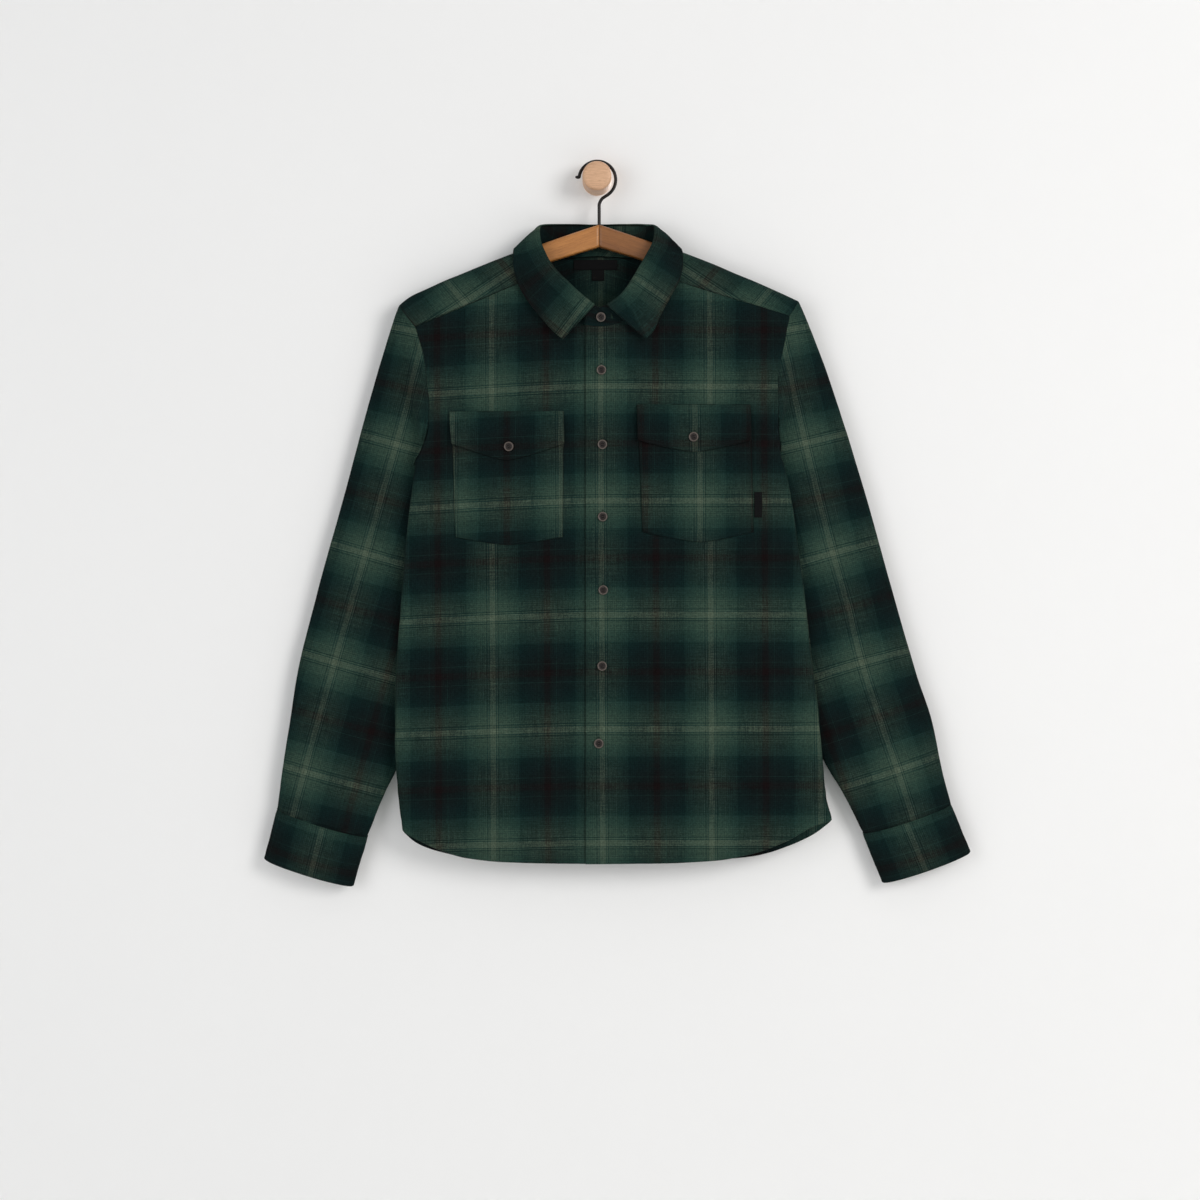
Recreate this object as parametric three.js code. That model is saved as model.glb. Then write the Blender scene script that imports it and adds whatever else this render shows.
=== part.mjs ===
// A flannel shirt on a wooden hanger, hung from a round wooden wall peg.
// Millimetres, +Z up. The wall is the plane Y = 0, the shirt's front faces -Y and
// the origin is the middle of the peg's back face.
import * as THREE from 'three';

const CLOTH = 1.5;            // thickness of one layer of brushed flannel
const FIRM = 2;               // thickness of interfaced layers: stand and cuffs
const SEAM = 0.3;             // clear gap between pieces that are sewn together
const LAY = 0.5;              // clear gap under a piece that lies on a panel

// The wooden hanger and what carries it
const ARM = {
  middleX: 2.6, y: -26, apexZ: -57, slope: 0.3177, bend: 0.00031, length: 222,
  thick: 13, deep: 27.4, deepAtEnd: 21, chamfer: 3, chamferRise: 3.5,
};
// Stations out along an arm, and how far its end is rounded off at each
const ARM_RINGS = [
  { out: 0.15, shrink: 0 }, { out: 18, shrink: 0 }, { out: 45, shrink: 0 }, { out: 75, shrink: 0 },
  { out: 105, shrink: 0 }, { out: 135, shrink: 0 }, { out: 165, shrink: 0 }, { out: 192, shrink: 0 },
  { out: 210, shrink: 0 }, { out: 218, shrink: 0.35 }, { out: 222, shrink: 1 },
];
const ARM_SHRINK = { deep: 0.45, top: 2.5, wide: 0.35 };
const RIDGE_RADIUS = 8.5;     // of the cloth where it turns over the hanger
const RIDGE_RISE = 1.15;      // from the hanger's top edge to the middle of the cloth
const DROOP = { from: 222, left: 0.0125, right: 0 };   // past the hanger's end
const PEG = { radius: 17.7, length: 46, round: 4 };
const HOOK = { wire: 2, radius: 22.3, x: 0.3, z: -2.3, from: 172, to: -52, step: 16, steps: 36 };
const HOOK_TIP = { out: 4.4, up: 3.4 };
const HOOK_STEM = [{ x: 5.4, z: -26.4 }, { x: 2.9, z: -31.5 }, { x: 2.6, z: -38 }, { x: 2.6, z: -47 }];

// The body: its visible side edges, its depth and its hem
const EDGE_RADIUS = 6;        // of the fold at each side
const FRONT = { y: -50, atEdge: 4, halfWidth: 220, settle: 50 };
const NECK_SWELL = { depth: 17, across: 75, down: 110, topZ: -160 };
const BACK = { y: -14, foldedIn: 130, flatOver: 70, tuckFrom: 78, tuckOver: 75 };
const CENTRE_X = 2.6;
const BODY_EDGE = [
  { z: -150, left: -262, right: 262 },
  { z: -300, left: -236, right: 228 },
  { z: -332.8, left: -223, right: 220.8 },
  { z: -348.4, left: -219, right: 224.9 },
  { z: -377, left: -222.8, right: 231.6 },
  { z: -440, left: -229.8, right: 241.4 },
  { z: -500, left: -234.6, right: 249.6 },
  { z: -586, left: -240.8, right: 258.9 },
  { z: -634, left: -243.2, right: 265.5 },
  { z: -683, left: -243.2, right: 270 },
  { z: -747, left: -239, right: 275.5 },
  { z: -775.6, left: -235.6, right: 282 },
  { z: -790, left: -233.5, right: 284 },
];
const ARMPIT = { left: -348.4, right: -332.8 };
const HEM_CORNER = { left: -788.6, right: -776.5 };
const HEM_BACK = { endZ: -782, blendFrom: 0.6 };
// Front and back hems as fractions of the way from the centre to the side seam
const HEM = [
  { part: 0, frontLeft: -828.5, frontRight: -828.5, back: -829 },
  { part: 0.3, frontLeft: -827.6, frontRight: -827.4, back: -829 },
  { part: 0.5, frontLeft: -826, frontRight: -824.5, back: -827 },
  { part: 0.66, frontLeft: -822, frontRight: -816, back: -822 },
  { part: 0.8, frontLeft: -812, frontRight: -801, back: -812 },
  { part: 0.91, frontLeft: -800, frontRight: -784, back: -800 },
  { part: 1, frontLeft: -788.6, frontRight: -776.5, back: -782 },
];

// Seams around the arms, in the front view: x of each seam at each height
const ARMHOLE_FRONT = {
  left: [
    { z: -181.6, x: -219.6 }, { z: -205, x: -212 }, { z: -223.6, x: -207.6 },
    { z: -250, x: -204.6 }, { z: -272.8, x: -202.2 }, { z: -300.4, x: -202.6 },
    { z: -330.4, x: -211 }, { z: -348.4, x: -222.4 },
  ],
  right: [
    { z: -168.5, x: 232.4 }, { z: -182.8, x: 229.4 }, { z: -202, x: 226 },
    { z: -223.6, x: 221.4 }, { z: -262, x: 217.8 }, { z: -294.4, x: 217.8 },
    { z: -318, x: 219.5 }, { z: -332.8, x: 224.2 },
  ],
};
const ARMHOLE_BACK = {
  left: [
    { z: -190, x: -220 }, { z: -215, x: -209 }, { z: -250, x: -202 },
    { z: -290, x: -201 }, { z: -325, x: -208 }, { z: -348.4, x: -222.4 },
  ],
  right: [
    { z: -190, x: 224 }, { z: -215, x: 217 }, { z: -250, x: 212 },
    { z: -290, x: 211 }, { z: -318, x: 216 }, { z: -332.8, x: 224.2 },
  ],
};
const SHOULDER_TIP = { left: -239, right: 243.5 };
const YOKE_SEAM_Z = -190;     // across the back
const YOKE_EDGE_POWER = 1.4;  // how the armhole rounds over the shoulder tip

// The neckline: across the front, then around the back of the neck on the yoke,
// where `along` is the cloth's distance from the ridge, positive to the back
const NECK = { frontZ: -184, cornerZ: -122, halfWidth: 78, power: 2.2 };
const NECK_BACK = [
  { t: 0, out: 78, along: -44.7 }, { t: 0.2, out: 79.5, along: -28 },
  { t: 0.35, out: 80, along: -13 }, { t: 0.48, out: 79, along: 0 },
  { t: 0.62, out: 72, along: 13 }, { t: 0.8, out: 47, along: 30 },
  { t: 1, out: 0, along: 44 },
];
const NECK_CORNER = 0.45;     // share of each half neckline that lies on the front

// The collar from its front (t = 0) to the middle of its back (t = 1): the fold at
// the top of the stand and the outer edge of the leaf
const COLLAR = [
  {
    t: 0, foldLeft: -2, foldRight: 11, foldY: -67, foldZ: -162,
    edgeLeft: -39.5, edgeRight: 57, edgeZ: -200.5, proud: 9,
  },
  {
    t: 0.12, foldLeft: -19.5, foldRight: 30, foldY: -66, foldZ: -148,
    edgeLeft: -54, edgeRight: 68, edgeZ: -187.5, proud: 8.5,
  },
  {
    t: 0.25, foldLeft: -38, foldRight: 42.5, foldY: -63, foldZ: -130.5,
    edgeLeft: -71.5, edgeRight: 77.5, edgeZ: -167, proud: 7.5,
  },
  {
    t: 0.35, foldLeft: -53, foldRight: 52, foldY: -58, foldZ: -114,
    edgeLeft: -86, edgeRight: 88, edgeZ: -147, proud: 6.5,
  },
  {
    t: 0.45, foldLeft: -63, foldRight: 61.5, foldY: -51.5, foldZ: -97,
    edgeLeft: -96.5, edgeRight: 99, edgeZ: -125, proud: 5.5,
  },
  {
    t: 0.55, foldLeft: -69.5, foldRight: 69.5, foldY: -43, foldZ: -79,
    edgeLeft: -100.5, edgeRight: 103, edgeZ: -104, proud: 4.5,
  },
  {
    t: 0.62, foldLeft: -70.5, foldRight: 71, foldY: -35.5, foldZ: -67,
    edgeLeft: -100.5, edgeRight: 102.5, edgeZ: -92.5, proud: 5,
  },
  {
    t: 0.68, foldLeft: -69, foldRight: 70, foldY: -28, foldZ: -60.5,
    edgeLeft: -99, edgeRight: 101, edgeZ: -86.3, proud: 3.4,
  },
  {
    t: 0.75, foldLeft: -60, foldRight: 61, foldY: -19.5, foldZ: -58,
    edgeLeft: -92, edgeRight: 94, edgeZ: -89.5, proud: 3.4,
  },
  {
    t: 0.86, foldLeft: -34, foldRight: 35, foldY: -14, foldZ: -57,
    edgeLeft: -62, edgeRight: 64, edgeZ: -97, proud: 4.5,
  },
  {
    t: 1, foldLeft: 0.6, foldRight: 0.6, foldY: -13, foldZ: -57.5,
    edgeLeft: 0.6, edgeRight: 0.6, edgeZ: -101, proud: 5,
  },
];
const COLLAR_OVER_BACK = { from: 0.64, over: 0.08 };    // t where the edge passes behind
const STAND_LAP = { under: 18, over: -14, apart: 1.6, fade: 0.3, underShort: 3, overShort: 5 };
// The stand's gap to the neckline, wider over the hanger, and its step in at the neck's sides
const STAND = {
  gap: 0.9, clearArm: 0.9, clearFrom: 0.42, clearOver: 0.1,
  stepIn: 0.2, stepFrom: 0.25, stepOver: 0.15, stepTo: 0.68, stepFade: 0.08,
};
const LEAF = {
  start: 0.015, lift: 0.55, forward: 1.4,
  over: { out: 3.2, down: 0.2 }, turned: { out: 6, up: -4.5 }, rest: [0.35, 0.68, 1],
};
const COLLAR_STATIONS = 32;

// The sleeves hang flat behind the body's sides: the outer fold and the inner fold
const SLEEVE_Y = -18;
const SLEEVE_HALF_DEPTH = 12.3;
const OVAL_POWER = 0.8;       // below 1: fuller than an ellipse
const SAG_FROM = 0.6;         // of a sleeve's length
const SLEEVE_OUTER = {
  left: [
    { v: 0, x: -239, y: -26, z: -155.1 }, { v: 0.02, x: -245.4, y: -22, z: -165.4 },
    { v: 0.05, x: -251.5, y: -19, z: -183.6 }, { v: 0.11, x: -261.2, y: -18, z: -220 },
    { v: 0.2, x: -277, y: -18, z: -274.7 }, { v: 0.38, x: -306.2, y: -18, z: -384 },
    { v: 0.55, x: -336.5, y: -18, z: -493.4 }, { v: 0.73, x: -363.3, y: -18, z: -602.7 },
    { v: 0.82, x: -371.8, y: -18, z: -657.4 }, { v: 0.92, x: -381.8, y: -18, z: -722 },
    { v: 1, x: -387.6, y: -18, z: -765 },
  ],
  right: [
    { v: 0, x: 243.5, y: -26, z: -150.4 }, { v: 0.02, x: 251.5, y: -22, z: -163.5 },
    { v: 0.05, x: 259.9, y: -19, z: -183.6 }, { v: 0.11, x: 273.3, y: -18, z: -220 },
    { v: 0.2, x: 291.5, y: -18, z: -274.7 }, { v: 0.38, x: 325.5, y: -18, z: -384 },
    { v: 0.55, x: 355.9, y: -18, z: -493.4 }, { v: 0.73, x: 387.5, y: -18, z: -602.7 },
    { v: 0.82, x: 405.7, y: -18, z: -657.4 }, { v: 0.92, x: 418.5, y: -18, z: -719 },
    { v: 1, x: 429, y: -18, z: -758.8 },
  ],
};
const SLEEVE_INNER = {
  left: [
    { v: 0, x: -219, y: -40, z: -348.4 }, { v: 0.02, x: -221.5, y: -31, z: -353 },
    { v: 0.05, x: -219, y: -22, z: -364 }, { v: 0.11, x: -203, y: -18, z: -390 },
    { v: 0.2, x: -189, y: -18, z: -444 }, { v: 0.38, x: -189.6, y: -18, z: -511.6 },
    { v: 0.55, x: -200, y: -18, z: -588 }, { v: 0.73, x: -223.6, y: -18, z: -675.6 },
    { v: 0.82, x: -245.1, y: -18, z: -719.1 }, { v: 0.92, x: -262.4, y: -18, z: -755 },
    { v: 1, x: -279.4, y: -18, z: -797.7 },
  ],
  right: [
    { v: 0, x: 220.8, y: -40, z: -332.8 }, { v: 0.02, x: 224.5, y: -31, z: -338 },
    { v: 0.05, x: 221, y: -22, z: -349 }, { v: 0.11, x: 205, y: -18, z: -375 },
    { v: 0.2, x: 192, y: -18, z: -430 }, { v: 0.38, x: 207.7, y: -18, z: -511.6 },
    { v: 0.55, x: 229.6, y: -18, z: -596.6 }, { v: 0.73, x: 261.1, y: -18, z: -675.6 },
    { v: 0.82, x: 278, y: -18, z: -710 }, { v: 0.92, x: 301, y: -18, z: -749 },
    { v: 1, x: 323.7, y: -18, z: -793.4 },
  ],
};
const CUFF = {
  left: { outerX: -403.7, outerZ: -825, innerX: -297.2, innerZ: -857.8 },
  right: { outerX: 452.6, outerZ: -817, innerX: 347.3, innerZ: -853.7 },
  halfDepth: 11.5, sag: 4, top: 0.013, bottom: 0.997,
  // Shares of a turn: where the under end lies, the lap, and where the upper layer lifts off
  start: 0.72, lap: 0.1, liftFrom: 0.7, liftOver: 0.28, apart: 2.6,
};
const SLEEVE_PLACKET = { fromV: 0.8, toV: 0.992, from: 0.7, to: 0.78, thick: 1.5, clear: 0.3 };

// Main soft folds of the fronts: ridges (up) and troughs (down) along short lines
const FOLDS = [
  { x0: 212, z0: -540, x1: 236, z1: -790, width: 24, rise: 3.5 },
  { x0: 176, z0: -600, x1: 186, z1: -815, width: 22, rise: -3 },
  { x0: -190, z0: -560, x1: -198, z1: -800, width: 24, rise: 2.6 },
  { x0: -140, z0: -620, x1: -150, z1: -822, width: 26, rise: -2.2 },
  { x0: 70, z0: -640, x1: 76, z1: -826, width: 30, rise: 1.8 },
  { x0: -206, z0: -352, x1: -120, z1: -452, width: 16, rise: 1.6 },
  { x0: 212, z0: -338, x1: 205, z1: -470, width: 15, rise: 1.8 },
];

const FOLD_FADE = { before: 0.15, past: 1.4, over: 0.5, heldFrom: 0.8 };

// What lies on the fronts: corners in the front view, x at each side of each height
const POCKETS = {
  left: {
    topZ: -300, sideZ: -435.6, pointZ: -445.2, pointX: -108,
    topLeft: -174, topRight: -40.6, lowLeft: -169.8, lowRight: -41.6,
  },
  right: {
    topZ: -292, sideZ: -429.5, pointZ: -441.7, pointX: 125,
    topLeft: 49.6, topRight: 184.6, lowLeft: 55.4, lowRight: 187.6,
  },
};
const FLAPS = {
  left: {
    topZ: -285.4, sideZ: -323.5, pointZ: -343.5, pointX: -107,
    topLeft: -177.2, topRight: -40.4, lowLeft: -174.4, lowRight: -39.4,
  },
  right: {
    topZ: -277.2, sideZ: -319.5, pointZ: -333.6, pointX: 117,
    topLeft: 48.2, topRight: 183.9, lowLeft: 49, lowRight: 184.6,
  },
};
const FLAP_BITE = 11;         // height over which a flap rises over its pocket
const FOOT_POWER = 1.25;      // of the slope to a pocket's or flap's point
const BUTTON = { radius: 5.75, thick: 2.8, rim: 1.1, dish: 0.8, backEdge: 0.9, frontEdge: 0.7, bevel: 0.6 };
const BUTTON_GAP = 0.5;       // under the buttons of the collar and the cuffs
const CUFF_BUTTON = { t: 0.5, turn: 1.03 };
const FRONT_BUTTONS = [
  { name: 'button_front_1', x: 5.2, z: -235.8 }, { name: 'button_front_2', x: 6.4, z: -324.8 },
  { name: 'button_front_3', x: 6.8, z: -411.5 }, { name: 'button_front_4', x: 7.4, z: -499.6 },
  { name: 'button_front_5', x: 6, z: -590.9 }, { name: 'button_front_6', x: 2.1, z: -683.9 },
];
const FLAP_BUTTONS = { left: { x: -105.7, z: -327.3 }, right: { x: 115.6, z: -315.7 } };
const COLLAR_BUTTON = { x: 4.6, z: -173, tilt: 0.27 };
const LABELS = {
  neck: { x0: -28, x1: 24.3, z0: -98.6, z1: -110.4, thick: 0.8 },
  size: { x0: -6, x1: 8.5, z0: -110.8, z1: -123.4, thick: 0.8 },
  side: { x0: 189.6, x1: 198, z0: -382, z1: -412, thick: 1 },
};

// Small helpers

const lerp = (a, b, t) => a + (b - a) * t;
const clamp = (t, low, high) => Math.min(Math.max(t, low), high);
const ease = (t) => clamp(t, 0, 1) ** 2 * (3 - 2 * clamp(t, 0, 1));
const vec = (x, y, z) => new THREE.Vector3(x, y, z);
const signOf = (side) => (side === 'left' ? -1 : 1);

// One column of a table at a place along another, on a smooth curve without overshoot.
function at(rows, along, column, place) {
  const last = rows.length - 1;
  const direction = Math.sign(rows[last][along] - rows[0][along]);
  let k = 0;
  while (k < last - 1 && (place - rows[k + 1][along]) * direction > 0) k += 1;
  const slope = (i) => (rows[i + 1][column] - rows[i][column]) / (rows[i + 1][along] - rows[i][along]);
  const tangent = (i) => {
    if (i === 0) return slope(0);
    if (i === last) return slope(last - 1);
    const before = slope(i - 1);
    const after = slope(i);
    return before * after <= 0 ? 0 : (2 * before * after) / (before + after);
  };
  const span = rows[k + 1][along] - rows[k][along];
  const t = clamp((place - rows[k][along]) / span, 0, 1);
  const rise = t * t * (3 - 2 * t);
  return lerp(rows[k][column], rows[k + 1][column], rise)
    + span * (t * (1 - t) ** 2 * tangent(k) - t * t * (1 - t) * tangent(k + 1));
}

// A sheet of cloth through a grid of points, given thickness; closed around if asked.
// Where a grid has no points (null), the sheet has a hole or a bay there.
function cloth(points, thick, around = false) {
  const rows = points.length;
  const columns = points[0].length;
  const wrap = (j) => (around ? (j + columns) % columns : j);
  const find = (i, j) => (i < 0 || i >= rows ? null : points[i][wrap(j)] ?? null);
  const number = new Map();
  const outside = [];
  const inside = [];
  for (let i = 0; i < rows; i += 1) {
    for (let j = 0; j < columns; j += 1) {
      const here = points[i][j];
      if (!here) continue;
      const slope = (di, dj) => {
        const [ahead, before] = [find(i + di, j + dj), find(i - di, j - dj)];
        if (ahead && before) return ahead.clone().sub(before);
        const way = ahead ? 1 : -1;
        const near = ahead ?? before;
        const far = find(i + 2 * way * di, j + 2 * way * dj) ?? near.clone().multiplyScalar(2).sub(here);
        return near.clone().multiplyScalar(4).addScaledVector(here, -3).sub(far).multiplyScalar(way);
      };
      const normal = slope(1, 0).cross(slope(0, 1)).normalize();
      number.set(i * columns + j, outside.length);
      outside.push(here.clone().addScaledVector(normal, thick / 2));
      inside.push(here.clone().addScaledVector(normal, -thick / 2));
    }
  }
  const faces = [];
  const quad = (a, b, c, d) => faces.push(a, b, c, a, c, d);
  const outer = (i, j) => number.get(i * columns + wrap(j));
  const inner = (i, j) => outer(i, j) + outside.length;
  const cell = (i, j) => [[i, j], [i + 1, j], [i, j + 1], [i + 1, j + 1]].every(([r, c]) => find(r, c));
  const rim = (a, b) => quad(outer(...a), outer(...b), inner(...b), inner(...a));
  for (let i = 0; i < rows - 1; i += 1) {
    for (let j = 0; j < (around ? columns : columns - 1); j += 1) {
      if (!cell(i, j)) continue;
      quad(outer(i, j), outer(i + 1, j), outer(i + 1, j + 1), outer(i, j + 1));
      quad(inner(i, j), inner(i, j + 1), inner(i + 1, j + 1), inner(i + 1, j));
      if (!cell(i - 1, j)) rim([i, j], [i, j + 1]);
      if (!cell(i + 1, j)) rim([i + 1, j + 1], [i + 1, j]);
      if (!cell(i, j - 1)) rim([i + 1, j], [i, j]);
      if (!cell(i, j + 1)) rim([i, j + 1], [i + 1, j + 1]);
    }
  }
  return solid([...outside, ...inside], faces);
}

// A geometry from corners and faces, turned so that its faces point outwards.
function solid(corners, faces) {
  let volume = 0;
  for (let f = 0; f < faces.length; f += 3) {
    const [a, b, c] = [corners[faces[f]], corners[faces[f + 1]], corners[faces[f + 2]]];
    volume += a.dot(b.clone().cross(c));
  }
  const turned = volume < 0 ? faces.slice().reverse() : faces;
  const geometry = new THREE.BufferGeometry();
  const numbers = corners.flatMap((p) => [p.x, p.y, p.z]);
  geometry.setAttribute('position', new THREE.Float32BufferAttribute(numbers, 3));
  geometry.setIndex(turned);
  geometry.computeVertexNormals();
  return geometry;
}

// A patch between four edges: `low` and `high` run across, `near` and `far` run up.
function patch(low, high, near, far) {
  const corner = (a, b) => (b === 0 ? low(a) : high(a));
  return (a, b) => [0, 1].map((k) => {
    const ruled = lerp(low(a)[k], high(a)[k], b) + lerp(near(b)[k], far(b)[k], a);
    const lowFlat = lerp(corner(0, 0)[k], corner(1, 0)[k], a);
    const highFlat = lerp(corner(0, 1)[k], corner(1, 1)[k], a);
    return ruled - lerp(lowFlat, highFlat, b);
  });
}

// Even fractions from 0 to 1.
const even = (count) => Array.from({ length: count + 1 }, (_, k) => k / count);

function grid(ups, acrosses, make) {
  return ups.map((b) => acrosses.map((a) => make(b, a)));
}

// The shirt's surfaces

// Height of the cloth's ridge over the hanger at a place across.
function ridgeZ(x) {
  const out = Math.abs(x - ARM.middleX);
  const side = x < ARM.middleX ? 'left' : 'right';
  const past = Math.max(out - DROOP.from, 0);
  return ARM.apexZ + RIDGE_RISE - ARM.slope * out - ARM.bend * out * out - DROOP[side] * past * past;
}

function foldRise(x, z) {
  let rise = 0;
  for (const fold of FOLDS) {
    const dx = fold.x1 - fold.x0;
    const dz = fold.z1 - fold.z0;
    const length = Math.hypot(dx, dz);
    const along = ((x - fold.x0) * dx + (z - fold.z0) * dz) / length / length;
    const off = ((x - fold.x0) * dz - (z - fold.z0) * dx) / length;
    const { before, past, over, heldFrom } = FOLD_FADE;
    const ends = ease((along + before) / over) * (along > heldFrom ? 1 : ease((past - along) / over));
    rise += fold.rise * ends * Math.exp(-((off / fold.width) ** 2));
  }
  return rise;
}

function frontY(x, z) {
  const below = Math.max(ridgeZ(x) - RIDGE_RADIUS - z, 0);
  const neckUp = Math.exp(-Math.max(NECK_SWELL.topZ - z, 0) / NECK_SWELL.down);
  const neckAcross = Math.exp(-(((x - CENTRE_X) / NECK_SWELL.across) ** 2));
  const atEdge = FRONT.atEdge * (x / FRONT.halfWidth) ** 2;
  const hanging = FRONT.y + atEdge - NECK_SWELL.depth * neckUp * neckAcross;
  const start = ARM.y - RIDGE_RADIUS;
  return start + (hanging - start) * (1 - Math.exp(-below / FRONT.settle)) - foldRise(x, z);
}

const edgeAt = (side, z) => Math.abs(at(BODY_EDGE, 'z', side, z));
const sideSeam = (side, z) => signOf(side) * (edgeAt(side, z) + EDGE_RADIUS * (Math.PI / 2 - 1));

function backY(x, z) {
  const side = x < CENTRE_X ? 'left' : 'right';
  const edge = edgeAt(side, z);
  const below = Math.max(ridgeZ(x) - RIDGE_RADIUS - z, 0);
  const start = ARM.y + RIDGE_RADIUS;
  const plain = start + (BACK.y - start) * (1 - Math.exp(-below / FRONT.settle));
  const tucked = frontY(signOf(side) * (edge - EDGE_RADIUS), z) + 2 * EDGE_RADIUS;
  const aside = ease((Math.abs(x) - edge + BACK.foldedIn) / BACK.flatOver);
  const down = ease((ARMPIT[side] + BACK.tuckFrom - z) / BACK.tuckOver);
  return lerp(plain, tucked, aside * down);
}

// A point of the front or back at a distance s across the cloth and a height z.
function bodyPoint(s, z, face) {
  const side = s < CENTRE_X ? 'left' : 'right';
  const flat = edgeAt(side, z) - EDGE_RADIUS;
  const depth = face === 'front' ? frontY : backY;
  if (Math.abs(s) <= flat) return vec(s, depth(s, z), z);
  const turn = (Math.abs(s) - flat) / EDGE_RADIUS;
  const sunk = EDGE_RADIUS * (1 - Math.cos(turn)) * (face === 'front' ? 1 : -1);
  return vec(signOf(side) * (flat + EDGE_RADIUS * Math.sin(turn)), depth(signOf(side) * flat, z) + sunk, z);
}

// A point of the yoke: x across, `along` the cloth from the ridge, positive to the back.
function yokePoint(x, along) {
  const far = Math.abs(along);
  const way = Math.sign(along);
  const quarter = (RIDGE_RADIUS * Math.PI) / 2;
  if (far <= quarter) {
    const turn = far / RIDGE_RADIUS;
    const z = ridgeZ(x) - RIDGE_RADIUS * (1 - Math.cos(turn));
    return vec(x, ARM.y + way * RIDGE_RADIUS * Math.sin(turn), z);
  }
  const z = ridgeZ(x) - RIDGE_RADIUS - (far - quarter);
  return vec(x, way < 0 ? frontY(x, z) : backY(x, z), z);
}
const yokeAlong = (x, z) => ridgeZ(x) - RIDGE_RADIUS - z + (RIDGE_RADIUS * Math.PI) / 2;

function neckZ(x) {
  const share = Math.abs(x - CENTRE_X) / NECK.halfWidth;
  return NECK.frontZ + (NECK.cornerZ - NECK.frontZ) * share ** NECK.power;
}

// The neckline at t, from the middle of the front (0) to the middle of the back (1).
function neckPoint(side, t) {
  if (t <= NECK_CORNER) {
    const x = CENTRE_X + signOf(side) * NECK.halfWidth * (t / NECK_CORNER);
    return vec(x, frontY(x, neckZ(x)), neckZ(x));
  }
  const t2 = (t - NECK_CORNER) / (1 - NECK_CORNER);
  const x = CENTRE_X + signOf(side) * at(NECK_BACK, 't', 'out', t2);
  return yokePoint(x, at(NECK_BACK, 't', 'along', t2));
}

// Fronts, back and yoke

const FRONT_EDGE = { left: 20, right: -13.5 };
const LAP = { shift: 1.25, inside: 22, fade: 46 };
const NECK_CELLS = 5;
const UP_CELLS = 16;
const ARM_CELLS = 7;
const PANEL = { width: 240, height: 600, backWidth: 450 };    // rough sizes, for the seams' gaps
const CORNER_SHARE = 0.36;    // of a front's width, up to the neck's corner
const ARMPIT_SHARE = 0.71;    // of a front's height, up to the armpit
const SHOULDER_SPLITS = [0, 0.15, 0.3, 0.45, 0.6, 0.75, 0.86, 0.93, 0.965, 1];

const ACROSS_FRONT = [
  ...even(NECK_CELLS).map((t) => t * CORNER_SHARE),
  ...SHOULDER_SPLITS.slice(1).map((t) => lerp(CORNER_SHARE, 1, t)),
];
const UP_FRONT = [
  ...even(UP_CELLS).map((t) => t * ARMPIT_SHARE),
  ...even(ARM_CELLS).slice(1).map((t) => lerp(ARMPIT_SHARE, 1, t)),
];

function frontPatch(side) {
  const startX = FRONT_EDGE[side];
  const cornerX = CENTRE_X + signOf(side) * NECK.halfWidth;
  const armhole = ARMHOLE_FRONT[side];
  const hem = (part) => at(HEM, 'part', side === 'left' ? 'frontLeft' : 'frontRight', part);
  const hemS = sideSeam(side, HEM_CORNER[side]);
  const low = (a) => {
    const s = lerp(startX, hemS, a);
    return [s, hem(clamp((s - CENTRE_X) / (hemS - CENTRE_X), 0, 1))];
  };
  const high = (a) => {
    if (a <= CORNER_SHARE) {
      const x = lerp(startX, cornerX, a / CORNER_SHARE);
      return [x, neckZ(x)];
    }
    const t = (a - CORNER_SHARE) / (1 - CORNER_SHARE);
    return [lerp(cornerX, armhole[0].x, t), lerp(NECK.cornerZ, armhole[0].z, t)];
  };
  const near = (b) => [startX, lerp(low(0)[1], high(0)[1], b)];
  const far = (b) => {
    if (b <= ARMPIT_SHARE) {
      const z = lerp(HEM_CORNER[side], ARMPIT[side], b / ARMPIT_SHARE);
      return [sideSeam(side, z), z];
    }
    const z = lerp(ARMPIT[side], armhole[0].z, (b - ARMPIT_SHARE) / (1 - ARMPIT_SHARE));
    return [at(armhole, 'z', 'x', z), z];
  };
  return patch(low, high, near, far);
}

// Where the fronts lap, the upper one is moved out and the lower one in.
function lapShift(side, x) {
  const inward = (x - CENTRE_X) * signOf(side);
  return signOf(side) * LAP.shift * ease((LAP.fade - inward) / (LAP.fade - LAP.inside));
}

function frontPanel(side) {
  const place = frontPatch(side);
  const inset = SEAM / 2 / PANEL.width;
  const lift = SEAM / 2 / PANEL.height;
  return cloth(grid(UP_FRONT, ACROSS_FRONT, (b, a) => {
    const [s, z] = place(lerp(inset, 1 - inset, a), lerp(lift, 1 - lift, b));
    const point = bodyPoint(s, z, 'front');
    point.y -= lapShift(side, s);
    return point;
  }), CLOTH);
}

const BACK_EDGE_SPLITS = [0, 0.011, 0.022, 0.055];
const BACK_CELLS = 16;
const ACROSS_BACK = [
  ...BACK_EDGE_SPLITS,
  ...even(BACK_CELLS).slice(1, -1).map((t) => lerp(BACK_EDGE_SPLITS[3], 1 - BACK_EDGE_SPLITS[3], t)),
  ...BACK_EDGE_SPLITS.map((t) => 1 - t).reverse(),
];

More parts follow.
